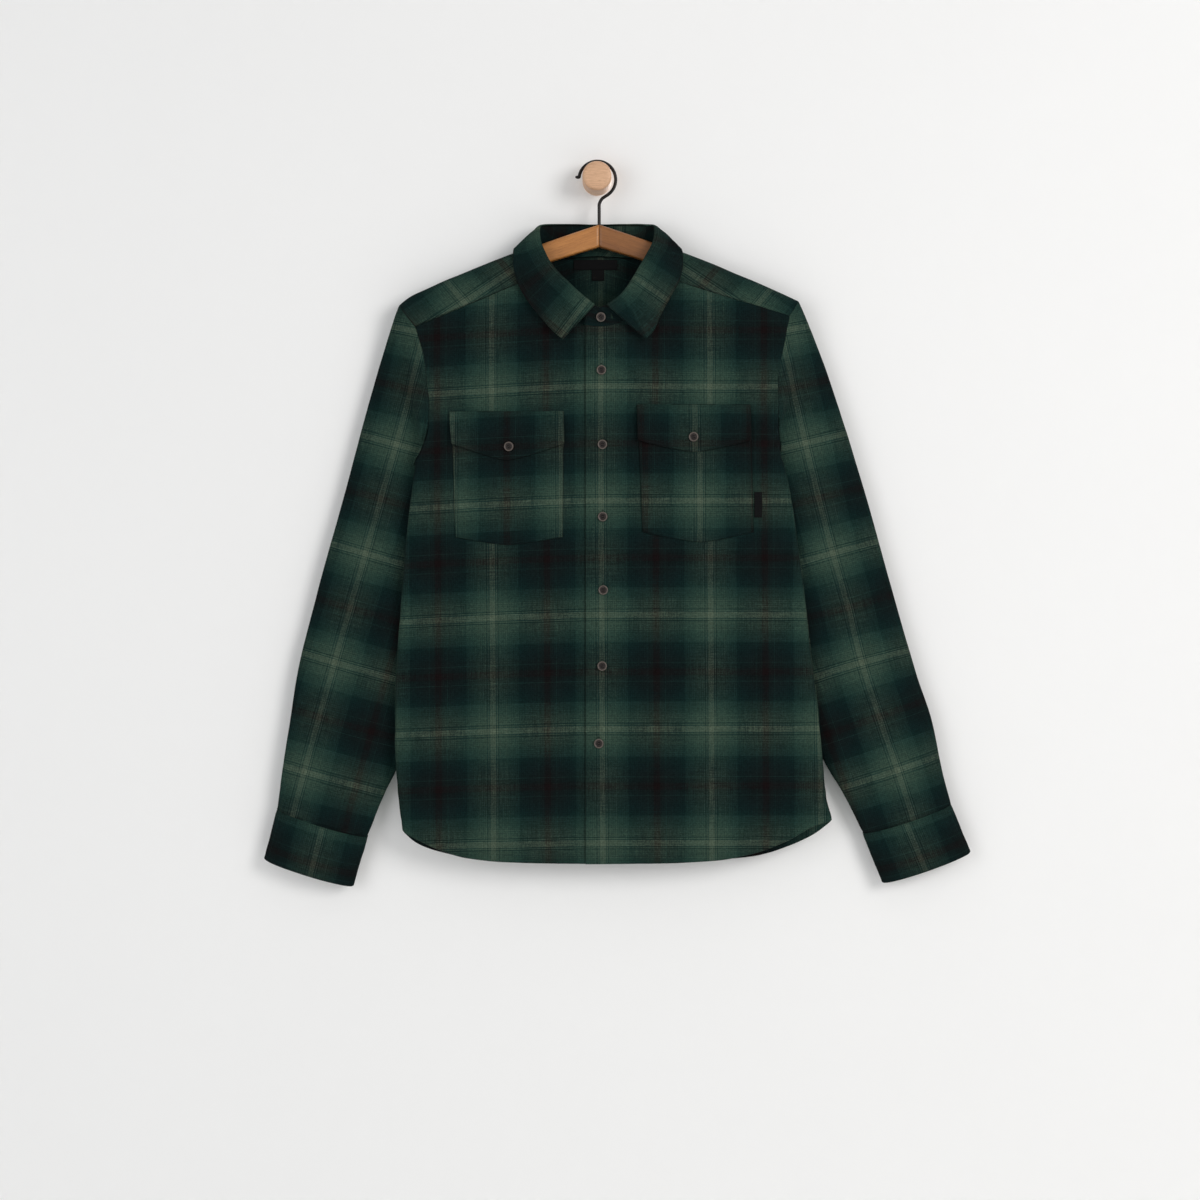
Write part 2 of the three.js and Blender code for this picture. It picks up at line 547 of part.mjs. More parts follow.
function backPanel() {
  const ends = { left: ARMHOLE_BACK.left[0].x, right: ARMHOLE_BACK.right[0].x };
  const hemEnd = { left: sideSeam('left', HEM_CORNER.left), right: sideSeam('right', HEM_CORNER.right) };
  const hemZ = (s) => {
    const side = s < CENTRE_X ? 'left' : 'right';
    const part = clamp((s - CENTRE_X) / (hemEnd[side] - CENTRE_X), 0, 1);
    const drop = at(HEM, 'part', 'back', part);
    const blend = ease((part - HEM_BACK.blendFrom) / (1 - HEM_BACK.blendFrom));
    return drop + (HEM_CORNER[side] - HEM_BACK.endZ) * blend;
  };
  const low = (a) => {
    const s = lerp(hemEnd.left, hemEnd.right, a);
    return [s, hemZ(s)];
  };
  const high = (a) => [lerp(ends.left, ends.right, a), YOKE_SEAM_Z];
  const edge = (side) => (b) => {
    if (b <= ARMPIT_SHARE) {
      const z = lerp(HEM_CORNER[side], ARMPIT[side], b / ARMPIT_SHARE);
      return [sideSeam(side, z), z];
    }
    const z = lerp(ARMPIT[side], YOKE_SEAM_Z, (b - ARMPIT_SHARE) / (1 - ARMPIT_SHARE));
    return [at(ARMHOLE_BACK[side], 'z', 'x', z), z];
  };
  const place = patch(low, high, edge('left'), edge('right'));
  const inset = (SEAM * 0.75) / PANEL.backWidth;
  return cloth(grid(UP_FRONT, ACROSS_BACK, (b, a) => {
    const [s, z] = place(lerp(inset, 1 - inset, a), lerp(inset, 1 - inset, b));
    return bodyPoint(s, z, 'back');
  }), CLOTH);
}

// The armhole's edge on the yoke, at a distance along the cloth from the ridge.
function yokeEdge(side, along) {
  const end = along < 0 ? ARMHOLE_FRONT[side][0] : ARMHOLE_BACK[side][0];
  const share = Math.min(Math.abs(along) / yokeAlong(end.x, end.z), 1);
  return lerp(SHOULDER_TIP[side], end.x, share ** YOKE_EDGE_POWER);
}

const YOKE_RIDGE_ROWS = [-18, -13.4, -9, -4.5, 0, 4.5, 9, 13.4];
const YOKE_FRONT_ROWS = [0, 0.45];
const YOKE_BACK_ROWS = [0.2, 0.45, 0.72, 1];
const YOKE_NECK_CELLS = 14;
const SHOULDER_LENGTH = 150;  // roughly, for the seams' gaps
const YOKE_CORNER_CLEAR = 4;  // from the armholes to the cells beside them

// Over each shoulder from the front seam to the ridge, then across the back.
function yokePanel() {
  const gap = SEAM / 2;
  const neckX = (side, along) => CENTRE_X + signOf(side) * at(NECK_BACK, 'along', 'out', along);
  const lastRow = YOKE_RIDGE_ROWS[YOKE_RIDGE_ROWS.length - 1];
  const splits = SHOULDER_SPLITS.map((t) => clamp(t, gap / SHOULDER_LENGTH, 1 - gap / SHOULDER_LENGTH));
  const seamPlace = (side, t) => {
    const end = ARMHOLE_FRONT[side][0];
    const x = lerp(CENTRE_X + signOf(side) * NECK.halfWidth, end.x, t);
    return [x, gap - yokeAlong(x, lerp(NECK.cornerZ, end.z, t))];
  };
  const shoulderPlace = (side, t, along) => [lerp(neckX(side, along), yokeEdge(side, along), t), along];
  const onShoulders = (rowPlace) => {
    const left = splits.slice().reverse().map((t) => yokePoint(...rowPlace('left', t)));
    const right = splits.map((t) => yokePoint(...rowPlace('right', t)));
    return [...left, ...Array(YOKE_NECK_CELLS - 1).fill(null), ...right];
  };
  const rows = YOKE_FRONT_ROWS.map((share) => onShoulders((side, t) => {
    const seam = seamPlace(side, t);
    const first = shoulderPlace(side, t, YOKE_RIDGE_ROWS[0]);
    return [lerp(seam[0], first[0], share), lerp(seam[1], first[1], share)];
  }));
  for (const along of YOKE_RIDGE_ROWS) {
    rows.push(onShoulders((side, t) => shoulderPlace(side, t, along)));
  }
  // The row that turns into the back neckline, and the rows below it
  const neckStart = at(NECK_BACK, 'along', 't', lastRow);
  const topPlaces = [
    ...splits.slice().reverse().map((t) => shoulderPlace('left', t, lastRow)),
    ...even(YOKE_NECK_CELLS).slice(1, -1).map((t) => {
      const side = t < 0.5 ? 'left' : 'right';
      const t2 = lerp(neckStart, 1, 1 - Math.abs(2 * t - 1));
      const x = CENTRE_X + signOf(side) * at(NECK_BACK, 't', 'out', t2);
      return [x, at(NECK_BACK, 't', 'along', t2) + gap];
    }),
    ...splits.map((t) => shoulderPlace('right', t, lastRow)),
  ];
  rows[rows.length - 1] = topPlaces.map(([x, along]) => yokePoint(x, along));
  for (const share of YOKE_BACK_ROWS) {
    rows.push(topPlaces.map(([x, along], k) => {
      const atEdge = k === 0 || k === topPlaces.length - 1;
      const clear = atEdge ? SEAM : YOKE_CORNER_CLEAR;
      const seamX = clamp(x, ARMHOLE_BACK.left[0].x + clear, ARMHOLE_BACK.right[0].x - clear);
      const place = lerp(along, yokeAlong(seamX, YOKE_SEAM_Z + gap), share);
      if (k === 0) return yokePoint(yokeEdge('left', place) + SEAM, place);
      if (atEdge) return yokePoint(yokeEdge('right', place) - SEAM, place);
      return yokePoint(lerp(x, seamX, share), place);
    }));
  }
  return cloth(rows, CLOTH);
}

// Sleeves and cuffs

const YOKE_SHARE = 0.18;      // of each half armhole that lies on the yoke

// The armhole loop at w: 0 shoulder tip, 0.25 middle of the front, 0.5 armpit, 0.75 back.
function armholePoint(side, w) {
  const onFront = w <= 0.5;
  const t = onFront ? w / 0.5 : (1 - w) / 0.5;
  const rows = onFront ? ARMHOLE_FRONT[side] : ARMHOLE_BACK[side];
  if (t <= YOKE_SHARE) {
    const along = yokeAlong(rows[0].x, rows[0].z) * (t / YOKE_SHARE) * (onFront ? -1 : 1);
    return yokePoint(yokeEdge(side, along), along);
  }
  const z = lerp(rows[0].z, ARMPIT[side], (t - YOKE_SHARE) / (1 - YOKE_SHARE));
  return bodyPoint(at(rows, 'z', 'x', z), z, onFront ? 'front' : 'back');
}

// The sleeve as a flat tube at v along and w around, as if it began at the shoulder.
function tubePoint(side, v, w) {
  const read = (rows, column) => at(rows, 'v', column, v);
  const outer = vec(...['x', 'y', 'z'].map((k) => read(SLEEVE_OUTER[side], k)));
  const inner = vec(...['x', 'y', 'z'].map((k) => read(SLEEVE_INNER[side], k)));
  return ovalPoint(outer, inner, w, SLEEVE_HALF_DEPTH, CUFF.sag * ease((v - SAG_FROM) / (1 - SAG_FROM)));
}

function ovalPoint(outer, inner, w, halfDepth, sag) {
  const angle = w * 2 * Math.PI;
  const share = (1 - Math.cos(angle)) / 2;
  const bulge = Math.sign(Math.sin(angle)) * Math.abs(Math.sin(angle)) ** OVAL_POWER;
  const point = outer.clone().lerp(inner, share);
  point.y -= halfDepth * bulge;
  point.z -= sag * Math.sin(angle);
  return point;
}

// The cap, from the armhole to where the sleeve is a plain tube
const CAP = { length: 0.13, crease: 0.36, creaseWidth: 0.34, underCrease: 0.3, pastAt: 0.18 };
const UNDERARM = 0.16;        // of the loop around, to each side of the armpit
const underarm = (w) => 1 - Math.min(Math.abs(w - 0.5) / UNDERARM, 1);
// Under the arm the sleeve lies outside the body's side fold.
const underarmShift = (side, w) => signOf(side) * (CLOTH + SEAM) * ease(underarm(w) * 2);

function sleevePoint(side, v, w) {
  const tube = tubePoint(side, v, w);
  const share = clamp(v / CAP.length, 0, 1);
  if (share >= 1) return tube;
  const seam = armholePoint(side, w);
  const under = underarm(w);
  const late = w < 0.5 ? Math.sin(w * 2 * Math.PI) ** 2 * (1 - under) : 0;
  const across = lerp(share, share ** 2, ease(under));
  const creased = lerp(share, ease((share - CAP.crease) / CAP.creaseWidth), late);
  const deep = lerp(creased, ease(share / CAP.underCrease), ease(under));
  const x = lerp(seam.x, tube.x, across) + underarmShift(side, w) * (1 - share);
  return vec(x, lerp(seam.y, tube.y, deep), lerp(seam.z, tube.z, across));
}

const HALF_ROUND = [
  ...[0, 0.25, 0.5, 0.75, 1].map((t) => t * YOKE_SHARE),
  ...even(ARM_CELLS).slice(1).map((t) => lerp(YOKE_SHARE, 1, t)),
];
const SLEEVE_ROUND = [
  ...HALF_ROUND.map((t) => t / 2),
  ...HALF_ROUND.slice(1, -1).reverse().map((t) => 1 - t / 2),
];
const SLEEVE_CAP_RINGS = [0.012, 0.025, 0.04, 0.055, 0.075, 0.1, 0.13];
const SLEEVE_END = 0.9995;
// Where a sleeve starts beside its armhole seam, and how far round it looks for the seam's run
const SLEEVE_START = { front: 0.4, back: 0.7, look: 0.015 };
// Each sleeve is two nodes, parted above the elbow, so that its collision keeps it hollow.
const ELBOW = 0.45;
const ELBOW_GAP = (2 * SEAM) / PANEL.height;
const SLEEVE_RINGS = { upper: 5, lower: 9 };

const sleeveRing = (side) => (v) => SLEEVE_ROUND.map((w) => sleevePoint(side, v, w));

function sleeveUpper(side) {
  const along = even(SLEEVE_RINGS.upper - 1).map((t) => lerp(CAP.pastAt, ELBOW - ELBOW_GAP / 2, t));
  const rings = [...SLEEVE_CAP_RINGS, ...along].map(sleeveRing(side));
  const start = SLEEVE_ROUND.map((w, j) => {
    const seam = armholePoint(side, w);
    const { front, back, look } = SLEEVE_START;
    const before = armholePoint(side, (w + 1 - look) % 1);
    const run = armholePoint(side, w + look).sub(before).normalize();
    const away = rings[0][j].clone().sub(seam);
    away.addScaledVector(run, -away.dot(run)).normalize();
    const place = seam.clone().addScaledVector(away, w > 0.5 ? back : front);
    place.x += underarmShift(side, w);
    return place;
  });
  return cloth([start, ...rings], CLOTH, true);
}

function sleeveLower(side) {
  const along = even(SLEEVE_RINGS.lower - 1).map((t) => lerp(ELBOW + ELBOW_GAP / 2, SLEEVE_END, t));
  return cloth(along.map(sleeveRing(side)), CLOTH, true);
}

function cuffRing(side, t, w) {
  const top = [SLEEVE_OUTER[side], SLEEVE_INNER[side]].map((rows) => rows[rows.length - 1]);
  const { outerX, outerZ, innerX, innerZ } = CUFF[side];
  const outer = vec(lerp(top[0].x, outerX, t), SLEEVE_Y, lerp(top[0].z, outerZ, t));
  const inner = vec(lerp(top[1].x, innerX, t), SLEEVE_Y, lerp(top[1].z, innerZ, t));
  return ovalPoint(outer, inner, w, CUFF.halfDepth, CUFF.sag);
}

// The cuff is a band wound once around, with its ends lapped at the back of the wrist.
function cuffPoint(side, t, turn) {
  const w = (CUFF.start + turn) % 1;
  const [outer, inner] = [0, 0.5].map((place) => cuffRing(side, t, place));
  const point = cuffRing(side, t, w);
  const across = inner.clone().sub(outer);
  const flatness = ((2 * CUFF.halfDepth) / across.length()) ** 2;
  const out = point.clone().sub(outer.lerp(inner, 0.5));
  across.normalize();
  out.addScaledVector(across, -out.dot(across) * (1 - flatness)).normalize();
  const raised = CUFF.apart * ease((turn - CUFF.liftFrom) / CUFF.liftOver);
  return point.addScaledVector(out, raised);
}

// The columns of the two lapped ends stand on each other, so that their layers stay apart.
const CUFF_COLUMNS = 22;

function cuff(side) {
  return cloth(grid(even(3), even(CUFF_COLUMNS), (t, turn) => (
    cuffPoint(side, lerp(CUFF.top, CUFF.bottom, t), turn * (1 + CUFF.lap))
  )), FIRM);
}

function sleevePlacket(side) {
  const { fromV, toV, from, to, thick, clear } = SLEEVE_PLACKET;
  const lift = CLOTH / 2 + LAY + thick / 2 + clear;
  return cloth(grid(even(7), even(2), (t, a) => {
    const point = tubePoint(side, lerp(fromV, toV, t), lerp(from, to, a));
    point.y += lift;
    return point;
  }), thick);
}

// Collar

function collarRow(side, t) {
  const read = (column) => at(COLLAR, 't', column, t);
  const name = side === 'left' ? 'Left' : 'Right';
  const fold = vec(read(`fold${name}`), read('foldY'), read('foldZ'));
  const edgeX = read(`edge${name}`);
  const edgeZ = read('edgeZ');
  const proud = read('proud');
  const onBack = ease((t - COLLAR_OVER_BACK.from) / COLLAR_OVER_BACK.over);
  const panelY = edgeZ < ridgeZ(edgeX) - RIDGE_RADIUS ? frontY(edgeX, edgeZ) : ARM.y - RIDGE_RADIUS;
  const edge = vec(edgeX, lerp(panelY - proud, backY(edgeX, edgeZ) + proud, onBack), edgeZ);
  const step = 0.03;
  const [before, after] = [t - step, t + step].map((place) => vec(
    at(COLLAR, 't', `fold${name}`, clamp(place, 0, 1)),
    at(COLLAR, 't', 'foldY', clamp(place, 0, 1)),
    at(COLLAR, 't', 'foldZ', clamp(place, 0, 1)),
  ));
  const ahead = after.sub(before).normalize();
  const out = vec(-ahead.y, ahead.x, 0).multiplyScalar(-signOf(side)).normalize();
  return { fold, edge, ahead, out: t > 1 - step ? vec(0, 1, 0) : out };
}

// Stations around the neck from one front end to the other, as [side, t].
function neckStations(count) {
  const stations = [];
  for (let k = 0; k <= count; k += 1) {
    const share = (2 * k) / count;
    stations.push(share <= 1 ? ['left', share] : ['right', 2 - share]);
  }
  return stations;
}

// How far the lapped ends of the stand are moved out (over) or in (under).
const lapStand = (side, t) => signOf(side) * STAND_LAP.apart * (1 - ease(t / STAND_LAP.fade));

function collarStand() {
  const { gap, clearArm, clearFrom, clearOver, stepIn, stepFrom, stepOver, stepTo, stepFade } = STAND;
  const columns = [];
  const lapColumn = (x, shift, shorter) => {
    const low = vec(x, frontY(x, neckZ(x)) - shift, neckZ(x) + gap);
    const { fold } = collarRow('left', 0);
    return { low, high: vec(x, fold.y - shift, fold.z - shorter) };
  };
  columns.push(lapColumn(STAND_LAP.under, -STAND_LAP.apart, STAND_LAP.underShort));
  columns.push(lapColumn(lerp(STAND_LAP.under, CENTRE_X, 0.5), -STAND_LAP.apart, 0));
  for (const [side, t] of neckStations(COLLAR_STATIONS)) {
    const low = neckPoint(side, t);
    const { fold, out } = collarRow(side, t);
    const shift = lapStand(side, t);
    const lift = gap + clearArm * ease((t - clearFrom) / clearOver);
    const inward = ease((t - stepFrom) / stepOver) * ease((stepTo - t) / stepFade);
    low.addScaledVector(fold.clone().sub(low).normalize(), lift);
    low.addScaledVector(out, -(FIRM / 2 + stepIn) * inward);
    low.y -= shift;
    fold.y -= shift;
    if (t === 0) fold.x = low.x;
    columns.push({ low, high: fold });
  }
  columns.push(lapColumn(lerp(STAND_LAP.over, CENTRE_X, 0.5), STAND_LAP.apart, 0));
  columns.push(lapColumn(STAND_LAP.over, STAND_LAP.apart, STAND_LAP.overShort));
  const rise = even(3);
  return cloth(columns.map(({ low, high }) => rise.map((s) => low.clone().lerp(high, s))), FIRM);
}

function collarLeaf() {
  const lift = SEAM + CLOTH / 2 + LEAF.lift;
  const rows = neckStations(COLLAR_STATIONS).map(([side, t0]) => {
    const t = lerp(LEAF.start, 1, t0);
    const { fold, edge, ahead, out } = collarRow(side, t);
    const up = fold.clone().sub(neckPoint(side, t));
    up.addScaledVector(ahead, -up.dot(ahead)).normalize();
    fold.y -= LEAF.forward * Math.max(lapStand(side, t), 0);
    const top = fold.clone().addScaledVector(up, lift);
    const over = fold.clone().addScaledVector(out, LEAF.over.out).addScaledVector(up, lift - LEAF.over.down);
    const turned = fold.clone().addScaledVector(out, LEAF.turned.out).addScaledVector(up, LEAF.turned.up);
    const rest = LEAF.rest.map((s) => turned.clone().lerp(edge, s));
    return [top, over, turned, ...rest];
  });
  return cloth(rows, CLOTH);
}

// Pockets, flaps, labels and buttons

function onFront(x, z, lift) {
  const step = 2;
  const point = bodyPoint(x, z, 'front');
  const across = bodyPoint(x + step, z, 'front').sub(bodyPoint(x - step, z, 'front'));
  const up = bodyPoint(x, z + step, 'front').sub(bodyPoint(x, z - step, 'front'));
  return point.addScaledVector(across.cross(up).normalize(), lift);
}

// A five-cornered piece on a front: a straight top, sloping sides and a pointed foot.
function layOn(outline, rows, columns, liftAt, thick) {
  const { topZ, sideZ, pointZ, pointX, topLeft, topRight, lowLeft, lowRight } = outline;
  const pointShare = (pointX - lowLeft) / (lowRight - lowLeft);
  return cloth(grid(even(rows), even(columns), (b, a) => {
    const fromPoint = a < pointShare ? 1 - a / pointShare : (a - pointShare) / (1 - pointShare);
    const footZ = lerp(pointZ, sideZ, fromPoint ** FOOT_POWER);
    const z = lerp(topZ, footZ, b);
    const x = lerp(lerp(topLeft, topRight, a), lerp(lowLeft, lowRight, a), b);
    return onFront(x, z, liftAt(topZ - z));
  }), thick);
}

const POCKET_LIFT = CLOTH + LAY;
const pocket = (side) => layOn(POCKETS[side], 8, 8, () => POCKET_LIFT, CLOTH);
const flapLift = (below) => POCKET_LIFT + (CLOTH + LAY) * ease(below / FLAP_BITE);
const flap = (side) => layOn(FLAPS[side], 6, 8, flapLift, CLOTH);

// A round button with a raised rim, its back on the cloth, built facing +Z.
function buttonShape() {
  const { radius, thick, rim, dish, backEdge, frontEdge, bevel } = BUTTON;
  const profile = [
    [0, 0], [radius - backEdge, 0], [radius, backEdge], [radius, thick - frontEdge], [radius - bevel, thick],
    [radius - rim, thick], [radius - rim - dish, thick - dish], [0, thick - dish],
  ];
  const shape = new THREE.LatheGeometry(profile.map(([x, y]) => new THREE.Vector2(x, y)), 11);
  shape.rotateX(Math.PI / 2);
  return shape;
}

// Colours

function finish(color, roughness, metalness = 0) {
  return new THREE.MeshStandardMaterial({ color, roughness, metalness });
}
const FLANNEL = finish('#1f3a33', 0.95);
const FLANNEL_DARK = finish('#16282a', 0.95);
const LABEL = finish('#0c0c0d', 0.8);
const PLASTIC = finish('#4a423f', 0.35);
const WOOD = finish('#a8672f', 0.5);
const PALE_WOOD = finish('#d9b48c', 0.6);
const WIRE = finish('#2a211d', 0.35, 0.8);

const shirt = new THREE.Group();

function add(name, geometry, material) {
  const mesh = new THREE.Mesh(geometry, material);
  mesh.name = name;
  shirt.add(mesh);
  return mesh;
}

function buttonOn(name, point, tilt = 0) {
  const mesh = add(name, buttonShape(), PLASTIC);
  mesh.position.copy(point);
  mesh.rotation.x = Math.PI / 2 + tilt;
}

// The hanger, its hook and the peg

function hangerArm(side) {
  const rings = ARM_RINGS.map(({ out, shrink }) => {
    const deep = lerp(ARM.deep, ARM.deepAtEnd, out / ARM.length) * (1 - ARM_SHRINK.deep * shrink);
    const top = ARM.apexZ - ARM.slope * out - ARM.bend * out * out - ARM_SHRINK.top * shrink;
    const wide = (ARM.thick / 2) * (1 - ARM_SHRINK.wide * shrink);
    const section = [];
    for (const t of even(6)) {
      section.push([Math.cos(t * Math.PI) * wide, top - wide + Math.sin(t * Math.PI) * wide]);
    }
    const bottom = top - deep;
    const flat = wide - ARM.chamfer;
    section.push([-wide, bottom + ARM.chamferRise], [-flat, bottom]);
    section.push([flat, bottom], [wide, bottom + ARM.chamferRise]);
    const x = ARM.middleX + signOf(side) * out;
    return section.map(([y, z]) => vec(x, ARM.y + y, z));
  });
  return capped(rings);
}

// A solid skinned over rings of equal count, closed at both ends.
function capped(rings) {
  const count = rings[0].length;
  const corners = rings.flat();
  const faces = [];
  for (let i = 0; i < rings.length - 1; i += 1) {
    for (let j = 0; j < count; j += 1) {
      const a = i * count + j;
      const b = i * count + ((j + 1) % count);
      faces.push(a, b, b + count, a, b + count, a + count);
    }
  }
  const last = (rings.length - 1) * count;
  for (let j = 1; j < count - 1; j += 1) {
    faces.push(0, j + 1, j, last, last + j, last + j + 1);
  }
  return solid(corners, faces);
}

function hookWire() {
  const { wire, radius, x, z, from, to, step, steps } = HOOK;
  const turn = (degrees) => {
    const angle = THREE.MathUtils.degToRad(degrees);
    return vec(x + radius * Math.cos(angle), ARM.y, z + radius * Math.sin(angle));
  };
  const path = [vec(x - radius - HOOK_TIP.out, ARM.y, z + HOOK_TIP.up)];
  for (let degrees = from; degrees >= to; degrees -= step) path.push(turn(degrees));
  path.push(...HOOK_STEM.map((place) => vec(place.x, ARM.y, place.z)));
  path.push(vec(ARM.middleX, ARM.y, ARM.apexZ + SEAM));
  const curve = new THREE.CatmullRomCurve3(path, false, 'catmullrom', 0.5);
  const section = new THREE.Shape(even(8).slice(0, -1).map((t) => {
    const angle = t * 2 * Math.PI;
    return new THREE.Vector2(wire * Math.cos(angle), wire * Math.sin(angle));
  }));
  return new THREE.ExtrudeGeometry(section, { steps, extrudePath: curve, bevelEnabled: false });
}

function wallPeg() {
  const { radius, length, round } = PEG;
  const profile = [[0, 0], [radius, 0], [radius, length - round]];
  for (const t of even(3).slice(1)) {
    const angle = t * (Math.PI / 2);
    profile.push([radius - round * (1 - Math.cos(angle)), length - round * (1 - Math.sin(angle))]);
  }
  profile.push([0, length]);
  const shape = new THREE.LatheGeometry(profile.map(([x, y]) => new THREE.Vector2(x, y)), 28);
  shape.rotateX(Math.PI);
  return shape;
}

// A small flat piece of ribbon between two corners, at a depth for each corner of the front view.
function ribbon({ x0, x1, z0, z1, thick }, depth, columns) {
  return cloth(grid(even(2), even(columns), (b, a) => {
    const x = lerp(x0, x1, a);
    const z = lerp(z0, z1, b);
    return vec(x, depth(x, z), z);
  }), thick);
}

// Assembly

add('front_left', frontPanel('left'), FLANNEL);
add('front_right', frontPanel('right'), FLANNEL);
add('back', backPanel(), FLANNEL_DARK);
add('yoke', yokePanel(), FLANNEL);
for (const side of ['left', 'right']) {
  add(`sleeve_upper_${side}`, sleeveUpper(side), FLANNEL);
  add(`sleeve_lower_${side}`, sleeveLower(side), FLANNEL);
  add(`cuff_${side}`, cuff(side), FLANNEL_DARK);
  add(`sleeve_placket_${side}`, sleevePlacket(side), FLANNEL);
  add(`pocket_${side}`, pocket(side), FLANNEL);
  add(`pocket_flap_${side}`, flap(side), FLANNEL_DARK);
  add(`hanger_arm_${side}`, hangerArm(side), WOOD);
}
add('collar_stand', collarStand(), FLANNEL);
add('collar_leaf', collarLeaf(), FLANNEL);

const buttonBack = CLOTH / 2 + SEAM;
for (const { name, x, z } of FRONT_BUTTONS) {
  const point = onFront(x, z, buttonBack);
  point.y -= LAP.shift;
  buttonOn(name, point);
}
for (const side of ['left', 'right']) {
  const { x, z } = FLAP_BUTTONS[side];
  buttonOn(`button_flap_${side}`, onFront(x, z, 2 * POCKET_LIFT + buttonBack));
}
{
  const { x, z, tilt } = COLLAR_BUTTON;
  const y = lerp(frontY(x, neckZ(x)), COLLAR[0].foldY, (z - NECK.frontZ) / (COLLAR[0].foldZ - NECK.frontZ));
  buttonOn('button_collar', vec(x, y - STAND_LAP.apart - FIRM / 2 - BUTTON_GAP, z), tilt);
}
for (const side of ['left', 'right']) {
  const point = cuffPoint(side, CUFF_BUTTON.t, CUFF_BUTTON.turn);
  const mesh = add(`button_cuff_${side}`, buttonShape(), PLASTIC);
  mesh.position.copy(point).add(vec(0, FIRM / 2 + BUTTON_GAP, 0));
  mesh.rotation.x = -Math.PI / 2;
}

const labelLift = (thick) => CLOTH / 2 + 2 * SEAM + thick / 2;
add('label_neck', ribbon(LABELS.neck, (x, z) => backY(x, z) - labelLift(LABELS.neck.thick), 6), LABEL);
add('label_size', ribbon(LABELS.size, (x, z) => backY(x, z) - labelLift(LABELS.size.thick), 2), LABEL);
add('label_side', ribbon(LABELS.side, (x, z) => frontY(x, z) - labelLift(LABELS.side.thick), 2), LABEL);

add('hanger_hook', hookWire(), WIRE);
add('wall_peg', wallPeg(), PALE_WOOD);

export default shirt;
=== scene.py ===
"""A green plaid flannel shirt on a wooden hanger, hung from a wall peg.

The shapes are worked out in millimetres from the same named sizes as the solid
model and made into meshes in metres. +Z is up and the shirt's front faces -Y.
"""

import math

import bmesh
import bpy
import numpy as np
from mathutils import Matrix, Vector


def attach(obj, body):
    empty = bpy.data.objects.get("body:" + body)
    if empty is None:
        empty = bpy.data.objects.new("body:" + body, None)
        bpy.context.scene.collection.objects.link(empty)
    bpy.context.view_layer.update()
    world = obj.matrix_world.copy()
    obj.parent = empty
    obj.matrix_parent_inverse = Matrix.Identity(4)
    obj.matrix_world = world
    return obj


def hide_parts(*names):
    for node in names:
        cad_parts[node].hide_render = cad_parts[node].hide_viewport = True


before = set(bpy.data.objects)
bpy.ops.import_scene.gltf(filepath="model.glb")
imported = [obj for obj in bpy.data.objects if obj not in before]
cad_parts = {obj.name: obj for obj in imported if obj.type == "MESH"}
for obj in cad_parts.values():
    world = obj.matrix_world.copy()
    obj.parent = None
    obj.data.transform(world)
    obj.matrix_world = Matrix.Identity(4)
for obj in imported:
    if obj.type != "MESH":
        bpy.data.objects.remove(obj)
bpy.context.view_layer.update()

MM = 0.001
CLOTH = 1.5
FIRM = 2.0
SEAM = 0.3
LAY = 0.5
CENTRE_X = 2.6
RIM_OUT = 0.45


# Tables and curves

def table(names, *rows):
    """Named columns of numbers."""
    columns = np.array(rows, dtype=float).T
    return dict(zip(names.split(), columns))


def through(x, y, tangent, place):
    """A curve through points that has the given slopes there."""
    k = np.clip(np.searchsorted(x, place) - 1, 0, len(x) - 2)
    span = x[k + 1] - x[k]
    t = (place - x[k]) / span
    curve = t * (1 - t) ** 2 * tangent[k] - t * t * (1 - t) * tangent[k + 1]
    return y[k] + (y[k + 1] - y[k]) * t * t * (3 - 2 * t) + span * curve


def at(rows, along, column, place):
    """One column at places along another, on a smooth curve without overshoot."""
    x, y = rows[along], rows[column]
    if x[0] > x[-1]:
        x, y = x[::-1], y[::-1]
    slope = np.diff(y) / np.diff(x)
    before, after = slope[:-1], slope[1:]
    both = before * after > 0
    total = np.where(both, before + after, 1)
    middle = np.where(both, 2 * before * after / total, 0)
    tangent = np.concatenate([slope[:1], middle, slope[-1:]])
    return through(x, y, tangent, np.clip(place, x[0], x[-1]))


def lerp(a, b, t):
    return a + (b - a) * t


def ease(t):
    t = np.clip(t, 0, 1)
    return t * t * (3 - 2 * t)


def vec(*parts):
    return np.stack(np.broadcast_arrays(*parts), -1).astype(float)


def unit(v):
    return v / np.maximum(np.linalg.norm(v, axis=-1, keepdims=True), 1e-9)


def choose(test, yes, no):
    """Points from one array where the test holds, and from the other where it doesn't."""
    return np.where(np.asarray(test)[..., None], yes, no)


def in_two(t, share):
    """A way from 0 to 1 as two ways, each from 0 to 1: up to a share of it, and beyond."""
    return np.minimum(t / share, 1), np.clip((t - share) / (1 - share), 0, 1)


def run_length(points):
    """How far along its line each point lies."""
    return np.concatenate([[0], np.cumsum(np.linalg.norm(np.diff(points, axis=0), axis=-1))])


def ripple(x, z, seed, size):
    """A smooth random height from -1 to 1 with bumps about `size` apart."""
    count = 64
    lattice = np.random.default_rng(seed).uniform(-1, 1, (count, count))
    u, v = np.broadcast_arrays(x / size + 32.5, z / size + 32.5)
    i, j = np.floor(u).astype(int), np.floor(v).astype(int)
    s, t = ease(u - i), ease(v - j)
    low, high = (lerp(lattice[i % count, row % count], lattice[(i + 1) % count, row % count], s)
                 for row in (j, j + 1))
    return lerp(low, high, t)


